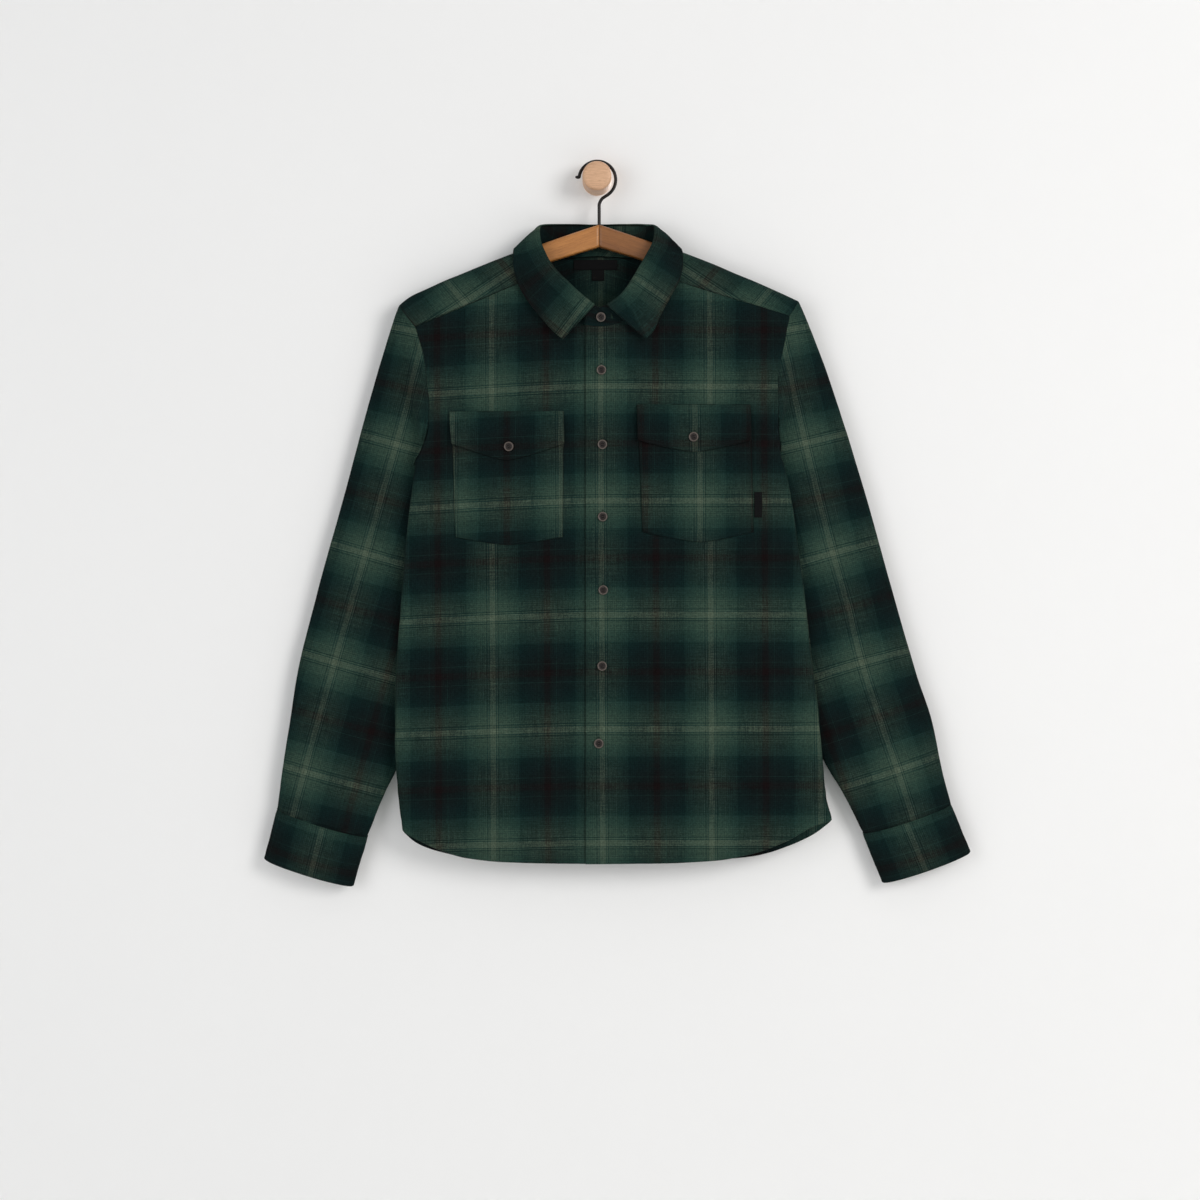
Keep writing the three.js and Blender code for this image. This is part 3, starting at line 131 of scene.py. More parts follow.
def creases(rows, x, z, fade_at=1.15, whole_from=np.inf):
    """Soft ridges (rise above 0) and troughs along short lines, fading at their ends."""
    total = 0 * x + 0 * z
    for x0, z0, x1, z1, width, rise in rows:
        dx, dz = x1 - x0, z1 - z0
        length = math.hypot(dx, dz)
        along = ((x - x0) * dx + (z - z0) * dz) / length ** 2
        off = ((x - x0) * dz - (z - z0) * dx) / length
        end = np.where(along > whole_from, 1, ease((fade_at - along) / 0.5))
        total = total + rise * ease((along + 0.15) / 0.5) * end * np.exp(-((off / width) ** 2))
    return total


SIGN = {"left": -1, "right": 1}
SIDES = ("left", "right")


def by_side(x, left, right):
    return np.where(x < CENTRE_X, left, right)


# The hanger and the body: the same sizes as in the solid model

ARM_X, ARM_Y, ARM_TOP = 2.6, -26.0, -57.0
ARM_SLOPE, ARM_BEND, ARM_LENGTH = 0.3177, 0.00031, 222.0
ARM_THICK, ARM_DEEP, ARM_DEEP_END, ARM_ROUND_FROM = 13.0, 27.4, 21.0, 206.0
ARM_CORNER_TOP, ARM_CORNER_LOW = 5.2, 3.2
RIDGE_RADIUS, RIDGE_RISE = 8.5, 1.15
DROOP_FROM, DROOP_LEFT = 222.0, 0.0125
EDGE_RADIUS = 6.0
FRONT_Y, FRONT_AT_EDGE, FRONT_HALF, FRONT_SETTLE = -50.0, 4.0, 220.0, 50.0
SWELL_DEPTH, SWELL_ACROSS, SWELL_DOWN, SWELL_TOP = 17.0, 75.0, 110.0, -160.0
BACK_Y, BACK_FOLDED, BACK_FLAT = -14.0, 130.0, 70.0
BODY_EDGE = table(
    "z left right",
    (-150, -262, 262), (-300, -236, 228), (-332.8, -223, 220.8), (-348.4, -219, 224.9),
    (-377, -222.8, 231.6), (-440, -229.8, 241.4), (-500, -234.6, 249.6), (-586, -240.8, 258.9),
    (-634, -243.2, 265.5), (-683, -243.2, 270), (-747, -239, 275.5), (-775.6, -235.6, 282),
    (-790, -233.5, 284),
)
ARMPIT = {"left": -348.4, "right": -332.8}
HEM_CORNER = {"left": -788.6, "right": -776.5}
HEM = table(
    "part left right back",
    (0, -828.5, -828.5, -829), (0.3, -827.6, -827.4, -829), (0.5, -826, -824.5, -827),
    (0.66, -822, -816, -822), (0.8, -812, -801, -812), (0.91, -800, -784, -800),
    (1, -788.6, -776.5, -782),
)
ARMHOLE_FRONT = {
    "left": table(
        "z x", (-181.6, -219.6), (-205, -212), (-223.6, -207.6), (-250, -204.6),
        (-272.8, -202.2), (-300.4, -202.6), (-330.4, -211), (-348.4, -222.4),
    ),
    "right": table(
        "z x", (-168.5, 232.4), (-182.8, 229.4), (-202, 226), (-223.6, 221.4),
        (-262, 217.8), (-294.4, 217.8), (-318, 219.5), (-332.8, 224.2),
    ),
}
ARMHOLE_BACK = {
    "left": table(
        "z x", (-190, -220), (-215, -209), (-250, -202), (-290, -201), (-325, -208),
        (-348.4, -222.4),
    ),
    "right": table(
        "z x", (-190, 224), (-215, 217), (-250, 212), (-290, 211), (-318, 216),
        (-332.8, 224.2),
    ),
}
SHOULDER_TIP = {"left": -239.0, "right": 243.5}
YOKE_SEAM_Z = -190.0
YOKE_EDGE_POWER = 1.4
NECK_FRONT_Z, NECK_CORNER_Z, NECK_HALF, NECK_POWER = -184.0, -122.0, 78.0, 2.2
NECK_BACK = table(
    "t out along",
    (0, 78, -44.7), (0.2, 79.5, -28), (0.35, 80, -13), (0.48, 79, 0), (0.62, 72, 13),
    (0.8, 47, 30), (1, 0, 44),
)
NECK_CORNER = 0.45
COLLAR = table(
    "t fold_left fold_right fold_y fold_z edge_left edge_right edge_z proud",
    (0, -2, 11, -67, -162, -39.5, 57, -200.5, 9),
    (0.12, -19.5, 30, -66, -148, -54, 68, -187.5, 8.5),
    (0.25, -38, 42.5, -63, -130.5, -71.5, 77.5, -167, 7.5),
    (0.35, -53, 52, -58, -114, -86, 88, -147, 6.5),
    (0.45, -63, 61.5, -51.5, -97, -96.5, 99, -125, 5.5),
    (0.55, -69.5, 69.5, -43, -79, -100.5, 103, -104, 4.5),
    (0.62, -70.5, 71, -35.5, -67, -100.5, 102.5, -92.5, 5),
    (0.68, -69, 70, -28, -60.5, -99, 101, -86.3, 3.4),
    (0.75, -60, 61, -19.5, -58, -92, 94, -89.5, 3.4),
    (0.86, -34, 35, -14, -57, -62, 64, -97, 4.5),
    (1, 0.6, 0.6, -13, -57.5, 0.6, 0.6, -101, 5),
)
STAND_UNDER, STAND_OVER, STAND_APART = 18.0, -14.0, 1.6
SLEEVE_Y, SLEEVE_HALF_DEPTH = -18.0, 12.3
SLEEVE_OUTER = {
    "left": table(
        "v x y z",
        (0, -239, -26, -155.1), (0.02, -245.4, -22, -165.4), (0.05, -251.5, -19, -183.6),
        (0.11, -261.2, -18, -220), (0.2, -277, -18, -274.7), (0.38, -306.2, -18, -384),
        (0.55, -336.5, -18, -493.4), (0.73, -363.3, -18, -602.7), (0.82, -371.8, -18, -657.4),
        (0.92, -381.8, -18, -722), (1, -387.6, -18, -765),
    ),
    "right": table(
        "v x y z",
        (0, 243.5, -26, -150.4), (0.02, 251.5, -22, -163.5), (0.05, 259.9, -19, -183.6),
        (0.11, 273.3, -18, -220), (0.2, 291.5, -18, -274.7), (0.38, 325.5, -18, -384),
        (0.55, 355.9, -18, -493.4), (0.73, 387.5, -18, -602.7), (0.82, 405.7, -18, -657.4),
        (0.92, 418.5, -18, -719), (1, 429, -18, -758.8),
    ),
}
SLEEVE_INNER = {
    "left": table(
        "v x y z",
        (0, -219, -40, -348.4), (0.02, -221.5, -31, -353), (0.05, -219, -22, -364),
        (0.11, -203, -18, -390), (0.2, -189, -18, -444), (0.38, -189.6, -18, -511.6),
        (0.55, -200, -18, -588), (0.73, -223.6, -18, -675.6), (0.82, -245.1, -18, -719.1),
        (0.92, -262.4, -18, -755), (1, -279.4, -18, -797.7),
    ),
    "right": table(
        "v x y z",
        (0, 220.8, -40, -332.8), (0.02, 224.5, -31, -338), (0.05, 221, -22, -349),
        (0.11, 205, -18, -375), (0.2, 192, -18, -430), (0.38, 207.7, -18, -511.6),
        (0.55, 229.6, -18, -596.6), (0.73, 261.1, -18, -675.6), (0.82, 278, -18, -710),
        (0.92, 301, -18, -749), (1, 323.7, -18, -793.4),
    ),
}
CUFF_END = {"left": (-403.7, -825, -297.2, -857.8), "right": (452.6, -817, 347.3, -853.7)}
CUFF_HALF_DEPTH, CUFF_LAP, CUFF_APART, SAG = 11.5, 0.1, 2.6, 4.0
CUFF_TOP, CUFF_BOTTOM, CUFF_START, CUFF_LIFT_FROM, CUFF_LIFT_OVER = 0.013, 0.997, 0.72, 0.7, 0.28
CAP_LENGTH, CAP_CREASE, CAP_CREASE_WIDTH = 0.13, 0.36, 0.34
YOKE_SHARE = 0.18
UNDERARM = 0.16
PLACKET_FROM_V, PLACKET_TO_V, PLACKET_FROM, PLACKET_TO = 0.8, 0.992, 0.7, 0.78

# Main folds of the fronts: x and z of each end, width and rise in mm
FRONT_FOLDS = (
    (212, -540, 236, -790, 24, 3.5), (176, -600, 186, -815, 22, -3),
    (-190, -560, -198, -800, 24, 2.6), (-140, -620, -150, -822, 26, -2.2),
    (70, -640, 76, -826, 30, 1.8), (-206, -352, -120, -452, 16, 1.6),
    (212, -338, 205, -470, 15, 1.8),
)
# Smaller creases that the photograph shows, or that such a shirt has on its hidden sides
FRONT_CREASES = (
    (-96, -205, -60, -262, 9, -0.9), (104, -196, 62, -250, 9, -0.8),
    (-214, -300, -168, -262, 8, 0.8), (-211, -318, -160, -290, 7, -0.7),
    (219, -290, 178, -256, 8, 0.8), (216, -306, 170, -284, 7, -0.7),
    (-226, -380, -150, -560, 14, -1.2), (-60, -470, -96, -690, 18, 1.0),
    (-30, -560, -44, -800, 13, -0.9), (40, -470, 34, -640, 15, -0.8),
    (108, -470, 128, -700, 17, 1.1), (142, -560, 150, -770, 12, -1.0),
    (230, -420, 216, -600, 13, -1.2), (-110, -700, -116, -826, 12, 1.1),
    (24, -700, 22, -826, 9, 0.9), (-214, -640, -222, -790, 11, -1.2),
)
BACK_CREASES = (
    (-150, -230, -96, -420, 17, 1.4), (148, -226, 104, -430, 16, 1.3),
    (-60, -215, -52, -520, 22, -1.2), (66, -214, 50, -560, 20, -1.4),
    (8, -260, -6, -640, 26, 1.2), (-205, -360, -130, -500, 14, -1.5),
    (212, -350, 140, -505, 13, -1.4), (-150, -600, -170, -820, 20, 1.6),
    (-84, -640, -96, -824, 15, -1.2), (96, -620, 108, -824, 17, 1.3),
    (186, -560, 206, -800, 16, -1.7), (30, -700, 38, -826, 14, -0.9),
)
YOKE_CREASES = (
    (-200, -20, -150, 40, 10, 0.5), (190, -26, 140, 30, 11, -0.5), (-80, 60, -60, 100, 9, 0.5),
)
# Sleeve creases in mm: distance from the inner edge around, distance down from the shoulder
SLEEVE_CREASES = {
    "left": (
        (20, 250, 92, 320, 10, -1.3), (14, 278, 80, 342, 9, 1.1), (8, 196, 70, 232, 9, -1.2),
        (116, 120, 130, 330, 13, 1.3), (92, 330, 110, 520, 14, -1.2), (30, 352, 96, 408, 10, 1.0),
        (12, 420, 66, 470, 9, -0.9), (80, 560, 92, 640, 10, 0.9), (40, 548, 46, 640, 8, -0.8),
        (60, 60, 128, 150, 12, -1.0),
    ),
    "right": (
        (18, 240, 96, 300, 11, -1.4), (12, 268, 84, 334, 9, 1.2), (10, 190, 76, 236, 10, -1.1),
        (112, 110, 124, 300, 13, 1.3), (88, 320, 104, 500, 13, -1.3), (26, 346, 90, 396, 9, 1.0),
        (10, 430, 60, 486, 9, -0.9), (76, 566, 84, 640, 9, 0.9), (36, 556, 40, 640, 8, -0.8),
        (56, 66, 130, 140, 12, -1.1),
    ),
}


def ridge_z(x):
    out = np.abs(x - ARM_X)
    past = np.maximum(out - DROOP_FROM, 0)
    droop = by_side(x, DROOP_LEFT, 0)
    return ARM_TOP + RIDGE_RISE - ARM_SLOPE * out - ARM_BEND * out ** 2 - droop * past ** 2


def front_y(x, z):
    below = np.maximum(ridge_z(x) - RIDGE_RADIUS - z, 0)
    up = np.exp(-np.maximum(SWELL_TOP - z, 0) / SWELL_DOWN)
    across = np.exp(-(((x - CENTRE_X) / SWELL_ACROSS) ** 2))
    hanging = FRONT_Y + FRONT_AT_EDGE * (x / FRONT_HALF) ** 2 - SWELL_DEPTH * up * across
    start = ARM_Y - RIDGE_RADIUS
    folds = creases(FRONT_FOLDS, x, z, 1.4, 0.8)
    return start + (hanging - start) * (1 - np.exp(-below / FRONT_SETTLE)) - folds


def edge_at(side, z):
    return np.abs(at(BODY_EDGE, "z", side, z))


def side_seam(side, z):
    return SIGN[side] * (edge_at(side, z) + EDGE_RADIUS * (math.pi / 2 - 1))


def both_edges(x, z):
    return by_side(x, edge_at("left", z), edge_at("right", z))


def back_y(x, z):
    edge = both_edges(x, z)
    below = np.maximum(ridge_z(x) - RIDGE_RADIUS - z, 0)
    start = ARM_Y + RIDGE_RADIUS
    plain = start + (BACK_Y - start) * (1 - np.exp(-below / FRONT_SETTLE))
    sign = by_side(x, -1, 1)
    tucked = front_y(sign * (edge - EDGE_RADIUS), z) + 2 * EDGE_RADIUS
    aside = ease((np.abs(x) - edge + BACK_FOLDED) / BACK_FLAT)
    down = ease((by_side(x, ARMPIT["left"], ARMPIT["right"]) + 78 - z) / 75)
    return lerp(plain, tucked, aside * down)


def body_point(s, z, face):
    """A point of the front or back: s is the distance across the cloth."""
    flat = both_edges(s, z) - EDGE_RADIUS
    sign = by_side(s, -1, 1)
    depth = front_y if face == "front" else back_y
    turn = np.clip((np.abs(s) - flat) / EDGE_RADIUS, 0, None)
    round_x = flat + EDGE_RADIUS * np.sin(turn)
    sunk = EDGE_RADIUS * (1 - np.cos(turn)) * (1 if face == "front" else -1)
    inside = np.abs(s) <= flat
    x = np.where(inside, s, sign * round_x)
    y = depth(np.where(inside, s, sign * flat), z) + np.where(inside, 0, sunk)
    return vec(x, y, z)


def yoke_point(x, along):
    """A point of the yoke: `along` the cloth from the ridge, positive to the back."""
    far = np.abs(along)
    way = np.sign(along)
    quarter = RIDGE_RADIUS * math.pi / 2
    turn = np.minimum(far, quarter) / RIDGE_RADIUS
    ridge = vec(
        x, ARM_Y + way * RIDGE_RADIUS * np.sin(turn),
        ridge_z(x) - RIDGE_RADIUS * (1 - np.cos(turn)),
    )
    z = ridge_z(x) - RIDGE_RADIUS - np.maximum(far - quarter, 0)
    hanging = vec(x, np.where(way < 0, front_y(x, z), back_y(x, z)), z)
    return choose(far <= quarter, ridge, hanging)


def yoke_along(x, z):
    return ridge_z(x) - RIDGE_RADIUS - z + RIDGE_RADIUS * math.pi / 2


def neck_z(x):
    share = np.abs(x - CENTRE_X) / NECK_HALF
    return NECK_FRONT_Z + (NECK_CORNER_Z - NECK_FRONT_Z) * share ** NECK_POWER


def neck_point(side, t):
    """The neckline from the middle of the front (t 0) to the middle of the back (t 1)."""
    share, share2 = in_two(t, NECK_CORNER)
    x = CENTRE_X + SIGN[side] * NECK_HALF * share
    x2 = CENTRE_X + SIGN[side] * at(NECK_BACK, "t", "out", share2)
    back = yoke_point(x2, at(NECK_BACK, "t", "along", share2))
    return choose(t <= NECK_CORNER, vec(x, front_y(x, neck_z(x)), neck_z(x)), back)


# Meshes

def new_object(name, verts, faces, uv=None):
    """A smooth mesh in metres from points in mm; uv has one row per face corner."""
    mesh = bpy.data.meshes.new(name)
    mesh.from_pydata((np.asarray(verts) * MM).tolist(), [], [list(map(int, f)) for f in faces])
    mesh.polygons.foreach_set("use_smooth", [True] * len(mesh.polygons))
    if uv is not None:
        layer = mesh.uv_layers.new(name="cloth")
        layer.data.foreach_set("uv", np.asarray(uv, dtype=float).ravel())
    mesh.update()
    obj = bpy.data.objects.new(name, mesh)
    bpy.context.scene.collection.objects.link(obj)
    return obj


def mount(obj, material, slot, *nodes):
    """Gives the piece its material and its body, and hides the solids it stands for. The slot is not used.
    """
    if material:
        obj.data.materials.append(material)
    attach(obj, "root")
    if nodes:
        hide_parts(*nodes)
    return obj


def grid_normals(points, around):
    if around:
        across = np.roll(points, -1, 1) - np.roll(points, 1, 1)
    else:
        across = np.gradient(points, axis=1, edge_order=2)
    return unit(np.cross(np.gradient(points, axis=0, edge_order=2), across))


# The four edges of a grid: the axis across them, and whether it is the last along it
ROW_0, ROW_N, COLUMN_0, COLUMN_N = (0, False), (0, True), (1, False), (1, True)


class Sheet:
    """One layer of cloth through a grid of points in mm, with its outer side facing away."""

    def __init__(self, points, thick, facing, around=False, mask=None):
        self.points, self.thick, self.around = points, thick, around
        self.mask = np.ones(points.shape[:2], bool) if mask is None else mask
        normal = grid_normals(points, around)
        outward = (normal * np.asarray(facing, float)).sum(-1)[self.mask].sum()
        self.sign = 1 if outward > 0 else -1
        self.normal = normal * self.sign

    def moved(self, height):
        """The same sheet with its points moved out by a height at each of them."""
        self.points = self.points + self.normal * np.asarray(height)[..., None]
        self.normal = grid_normals(self.points, self.around) * self.sign

    def from_edge(self, axis, last):
        """Distance in mm of each point from one of the grid's four edges, along the cloth."""
        step = np.linalg.norm(np.diff(self.points, axis=axis), axis=-1)
        zero = np.zeros_like(np.take(step, [0], axis))
        if last:
            step = np.flip(step, axis)
        far = np.concatenate([zero, np.cumsum(step, axis)], axis)
        return np.flip(far, axis) if last else far

    def from_edges(self, *edges):
        return [self.from_edge(*edge) for edge in edges]

    def area(self):
        a, b = np.diff(self.points[:, :-1], axis=0), np.diff(self.points[:-1, :], axis=1)
        return float(np.nansum(np.linalg.norm(np.cross(a, b), axis=-1))) * MM ** 2


def away_from_middle(points):
    return points - points.mean(axis=1, keepdims=True)


def shell(name, sheet, uv, proud=0, uv_other=None, other_cells=()):
    """A closed mesh around a sheet, its edges rounded; `proud` thickens the outer side.

    uv_other takes the place of uv on other_cells, stated for the outer and the inner side.
    """
    thick, mask, shape = sheet.thick, sheet.mask, sheet.mask.shape
    points, normal = choose(mask, sheet.points, 0), choose(mask, sheet.normal, 0)
    count = mask.size
    index = np.arange(count).reshape(shape)
    if sheet.around:
        right, mask_right = np.roll(index, -1, 1), np.roll(mask, -1, 1)
    else:
        right, mask_right = index[:, 1:], mask[:, 1:]
    width = right.shape[1]
    mask = mask[:, :width]
    cell = mask[:-1] & mask[1:] & mask_right[:-1] & mask_right[1:]
    a, b, c, d = index[:-1, :width], index[1:, :width], right[1:], right[:-1]
    outer = points + normal * (thick / 2 + np.broadcast_to(proud, shape))[..., None]
    inner = points - normal * thick / 2
    quads = np.stack([a, b, c, d], -1)[cell]
    # Border edges of the cells, each with the way out of its cell
    pad = np.pad(cell, 1)
    if sheet.around:
        pad[1:-1, 0], pad[1:-1, -1] = cell[:, -1], cell[:, 0]
    edges = []
    for beside, first, second in (
        (pad[:-2, 1:-1], a, d), (pad[2:, 1:-1], c, b), (pad[1:-1, :-2], b, a), (pad[1:-1, 2:], d, c),
    ):
        edges.append(np.stack([first, second], -1)[cell & ~beside])
    edges = np.concatenate(edges)
    if sheet.sign < 0:
        quads, edges = quads[:, ::-1], edges[:, ::-1]
    first, second = edges.T
    flat_points, flat_normal = points.reshape(-1, 3), normal.reshape(-1, 3)
    run = flat_points[second] - flat_points[first]
    way = -unit(np.cross(run, flat_normal[first] + flat_normal[second]))
    out = np.zeros_like(flat_points)
    np.add.at(out, first, way)
    np.add.at(out, second, way)
    border = np.unique(edges)
    rim = flat_points[border] + unit(out[border]) * thick * RIM_OUT
    verts = np.concatenate([outer.reshape(-1, 3), inner.reshape(-1, 3), rim])
    rim1, rim2 = (2 * count + np.searchsorted(border, edges)).T
    rims = [first, second, rim2, rim1, rim1, rim2, second + count, first + count]
    rims = np.stack(rims, -1).reshape(-1, 4)
    faces = np.concatenate([quads[:, ::-1], quads + count, rims])
    rim_uv = np.stack([first, second, second, first] * 2, -1).reshape(-1, 4)
    corner = np.concatenate([quads[:, ::-1], quads, rim_uv])
    loops = uv.reshape(-1, 2)[corner]
    if uv_other is not None:
        use = [np.broadcast_to(cells, cell.shape)[cell] for cells in other_cells]
        use = np.concatenate([*use, np.zeros(len(rims), bool)])
        loops[use] = uv_other.reshape(-1, 2)[corner[use]]
    used, faces = np.unique(faces, return_inverse=True)
    return new_object(name, verts[used], faces.reshape(-1, 4), (loops * MM).reshape(-1, 2))


def skin(rings):
    """Points and faces over a row of closed rings, with a flat cap at each end."""
    index = np.arange(rings.shape[0] * rings.shape[1]).reshape(rings.shape[:2])
    after = np.roll(index, -1, 1)
    faces = np.stack([index[:-1], after[:-1], after[1:], index[1:]], -1).reshape(-1, 4)
    return rings.reshape(-1, 3), [*faces.tolist(), index[0, ::-1].tolist(), index[-1].tolist()]


def turns(count):
    return 2 * math.pi * np.arange(count) / count


def tube(path, radius, sides):
    """Points and faces of a tube along a path; radius may change along it."""
    ahead = unit(np.gradient(path, axis=0))
    up = np.array([0, 1.0, 0]) if abs(ahead[0][1]) < 0.9 else np.array([1.0, 0, 0])
    angle = turns(sides)[:, None]
    rings = []
    for place, forward, size in zip(path, ahead, np.broadcast_to(radius, len(path))):
        side = unit(np.cross(forward, up))
        up = unit(np.cross(side, forward))
        rings.append(place + size * (np.cos(angle) * side + np.sin(angle) * up))
    return skin(np.array(rings))


def merged(parts):
    """One set of points and faces from several."""
    verts, faces = [], []
    for new_verts, new_faces in parts:
        faces += [[i + len(verts) for i in face] for face in new_faces]
        verts += list(new_verts)
    return verts, faces


# Materials

def node_tree(name):
    material = bpy.data.materials.new(name)
    material.use_nodes = True
    tree = material.node_tree
    return material, tree, tree.nodes["Principled BSDF"]


def plug(node, inputs):
    """Links sockets to a node's inputs, or sets numbers on them."""
    for key, value in inputs.items():
        socket = node.inputs[key]
        if isinstance(value, bpy.types.NodeSocket):
            node.id_data.links.new(value, socket)
        else:
            socket.default_value = value
    return node


def add_node(tree, kind, inputs, **settings):
    node = tree.nodes.new(f"ShaderNode{kind}")
    for key, value in settings.items():
        setattr(node, key, value)
    return plug(node, inputs)


def math_node(tree, operation, *inputs):
    return add_node(tree, "Math", dict(enumerate(inputs)), operation=operation).outputs[0]


def plus(tree, base, field, gain, middle=0.0):
    """The base plus a gain times how far a field is from its middle."""
    if middle:
        field = math_node(tree, "SUBTRACT", field, middle)
    return math_node(tree, "MULTIPLY_ADD", field, gain, base)


def wave(tree, socket, pitch):
    """A sine along the cloth whose pitch is in mm."""
    return math_node(tree, "SINE", math_node(tree, "MULTIPLY", socket, 2 * math.pi / (pitch * MM)))


def mix_colors(tree, factor, first, second, blend="MIX"):
    inputs = {"Factor": factor, 6: first, 7: second}
    return add_node(tree, "Mix", inputs, data_type="RGBA", blend_type=blend).outputs[2]


def ramp(tree, value, stops):
    node = add_node(tree, "ValToRGB", {0: value})
    elements = node.color_ramp.elements
    elements.remove(elements[-1])
    for k, (place, color) in enumerate(stops):
        element = elements.new(place) if k else elements[0]
        element.position = place
        element.color = (*color, 1)
    return node.outputs[0]


def noise(tree, vector, scale, detail=2.0, roughness=0.5, stretch=(1, 1, 1)):
    place = add_node(tree, "Mapping", {"Vector": vector, "Scale": stretch}).outputs[0]
    inputs = {"Vector": place, "Scale": scale, "Detail": detail, "Roughness": roughness}
    return add_node(tree, "TexNoise", inputs).outputs["Fac"]


def gray(tree, value):
    return add_node(tree, "CombineColor", {0: value, 1: value, 2: value}).outputs[0]


def cloth_coords(tree):
    return add_node(tree, "UVMap", {}, uv_map="cloth").outputs[0]


def object_coords(tree):
    return add_node(tree, "TexCoord", {}).outputs["Object"]


def add_bump(tree, shader, height, strength, distance):
    inputs = {"Strength": strength, "Distance": distance, "Height": height}
    plug(shader, {"Normal": add_node(tree, "Bump", inputs).outputs[0]})


def around_color(color, less, more):
    """A darker and a lighter version of a colour."""
    return (*(c * less for c in color), 1), (*(min(c * more, 1) for c in color), 1)


# The plaid from the middle of its light stripe to the middle of its dark band, where it turns
# back: each yarn's colour as warp and as weft, and the chart of mm and yarns
YARNS = {
    "light": ((0.060, 0.084, 0.059), (0.078, 0.108, 0.074)),
    "pale": ((0.042, 0.066, 0.048), (0.050, 0.080, 0.055)),
    "bright": ((0.0240, 0.0470, 0.0350), (0.0350, 0.0630, 0.0450)),
    "soft": ((0.0190, 0.0405, 0.0308), (0.0250, 0.0510, 0.0380)),
    "medium": ((0.0138, 0.0335, 0.0268), (0.0158, 0.0395, 0.0308)),
    "low": ((0.0086, 0.0255, 0.0220), (0.0104, 0.0305, 0.0262)),
    "edge": ((0.0036, 0.0142, 0.0132), (0.0032, 0.0150, 0.0141)),
    "deep": ((0.0040, 0.0116, 0.0113), (0.0025, 0.0090, 0.0098)),
    "dark": ((0.0050, 0.0104, 0.0100), (0.0034, 0.0070, 0.0074)),
    "night": ((0.0060, 0.0084, 0.0079), (0.0033, 0.0046, 0.0048)),
    "red": ((0.0074, 0.0043, 0.0042), (0.0056, 0.0030, 0.0034)),
}
CHART = (
    (0.0, "light"), (3.4, "light"), (3.7, "low"), (4.4, "low"), (4.8, "pale"), (6.0, "pale"),
    (6.4, "edge"), (6.9, "edge"), (7.3, "bright"), (8.3, "bright"), (8.6, "pale"), (9.0, "bright"),
    (12.0, "bright"), (12.3, "medium"), (12.8, "bright"), (16.0, "soft"), (16.3, "pale"),
    (16.7, "soft"), (22.5, "medium"), (31.0, "low"), (31.9, "edge"), (43.0, "deep"), (52.0, "dark"),
    (54.2, "dark"), (54.7, "low"), (55.3, "dark"), (61.4, "night"), (62.1, "red"), (65.5, "red"),
)
HALF_WARP, HALF_WEFT = 65.5, 68.5
YARN_COMB, COMB_DEPTH, TWILL_PITCH = 2.3, 0.09, 1.2
DRIFT_SCALE, DRIFT_SHARE = 9, 0.0012
# Scale, detail and roughness of each field of noise in the cloth
NAP = {"mottle": (620, 3, 0.65), "fuzz": (1400, 3, 0.7), "heather": (380, 4, 0.8), "soft": (46, 3, 0.55)}
WARP_STREAKS, WEFT_STREAKS = (900, 40, 1), (40, 900, 1)
BUTTON_RADIUS = 5.75


def flannel(name):
    """Brushed plaid twill: colour, weave and nap from the cloth's own coordinates."""
    material, tree, shader = node_tree(name)
    uv = cloth_coords(tree)
    drift = add_node(tree, "TexNoise", {"Scale": DRIFT_SCALE, "Vector": uv}).outputs["Color"]
    place = add_node(tree, "Mix", {"Factor": DRIFT_SHARE, 4: uv, 5: drift}, data_type="VECTOR")
    place = add_node(tree, "SeparateXYZ", {0: place.outputs[1]}).outputs
    threads = []
    for system, half in enumerate((HALF_WARP, HALF_WEFT)):
        share = math_node(tree, "PINGPONG", place[system], half * MM)
        share = math_node(tree, "DIVIDE", share, half * MM)
        stops = [(mm / HALF_WARP, [math.sqrt(c) for c in YARNS[yarn][system]]) for mm, yarn in CHART]
        comb = plus(tree, 1.0, wave(tree, place[system], YARN_COMB), COMB_DEPTH)
        threads.append(mix_colors(tree, 1.0, ramp(tree, share, stops), gray(tree, comb), "MULTIPLY"))
    # Yarns: streaks along each thread system, and the diagonal of the twill
    warp_yarn, weft_yarn = (noise(tree, uv, 1, 2, 0.6, way) for way in (WARP_STREAKS, WEFT_STREAKS))
    twill = wave(tree, math_node(tree, "ADD", place[0], place[1]), TWILL_PITCH)
    mottle, fuzz, heather, soft = (noise(tree, uv, *field) for field in NAP.values())
    balance = plus(tree, 0.5, math_node(tree, "SUBTRACT", warp_yarn, weft_yarn), 0.9)
    balance = plus(tree, plus(tree, balance, twill, 0.10), mottle, 0.9, 0.5)
    balance = add_node(tree, "Clamp", {0: balance, "Min": 0.1, "Max": 0.9}).outputs[0]
    # The two thread systems blend as square roots, since the darker yarn tells more
    blend = mix_colors(tree, balance, threads[1], threads[0])
    color = mix_colors(tree, 1.0, blend, blend, "MULTIPLY")
    shade = plus(tree, plus(tree, 1.0, fuzz, 1.3, 0.5), heather, 2.0, 0.5)
    shade = plus(tree, shade, soft, 0.45, 0.5)
    plug(shader, {
        "Base Color": mix_colors(tree, 1.0, color, gray(tree, shade), "MULTIPLY"),
        "Roughness": plus(tree, 0.84, fuzz, 0.12), "Specular IOR Level": 0.05,
        "Sheen Weight": 0.012, "Sheen Roughness": 0.55, "Sheen Tint": (0.62, 0.80, 0.72, 1),
    })
    add_bump(tree, shader, plus(tree, plus(tree, fuzz, twill, 0.18), mottle, 0.8), 0.5, 0.0006)
    return material


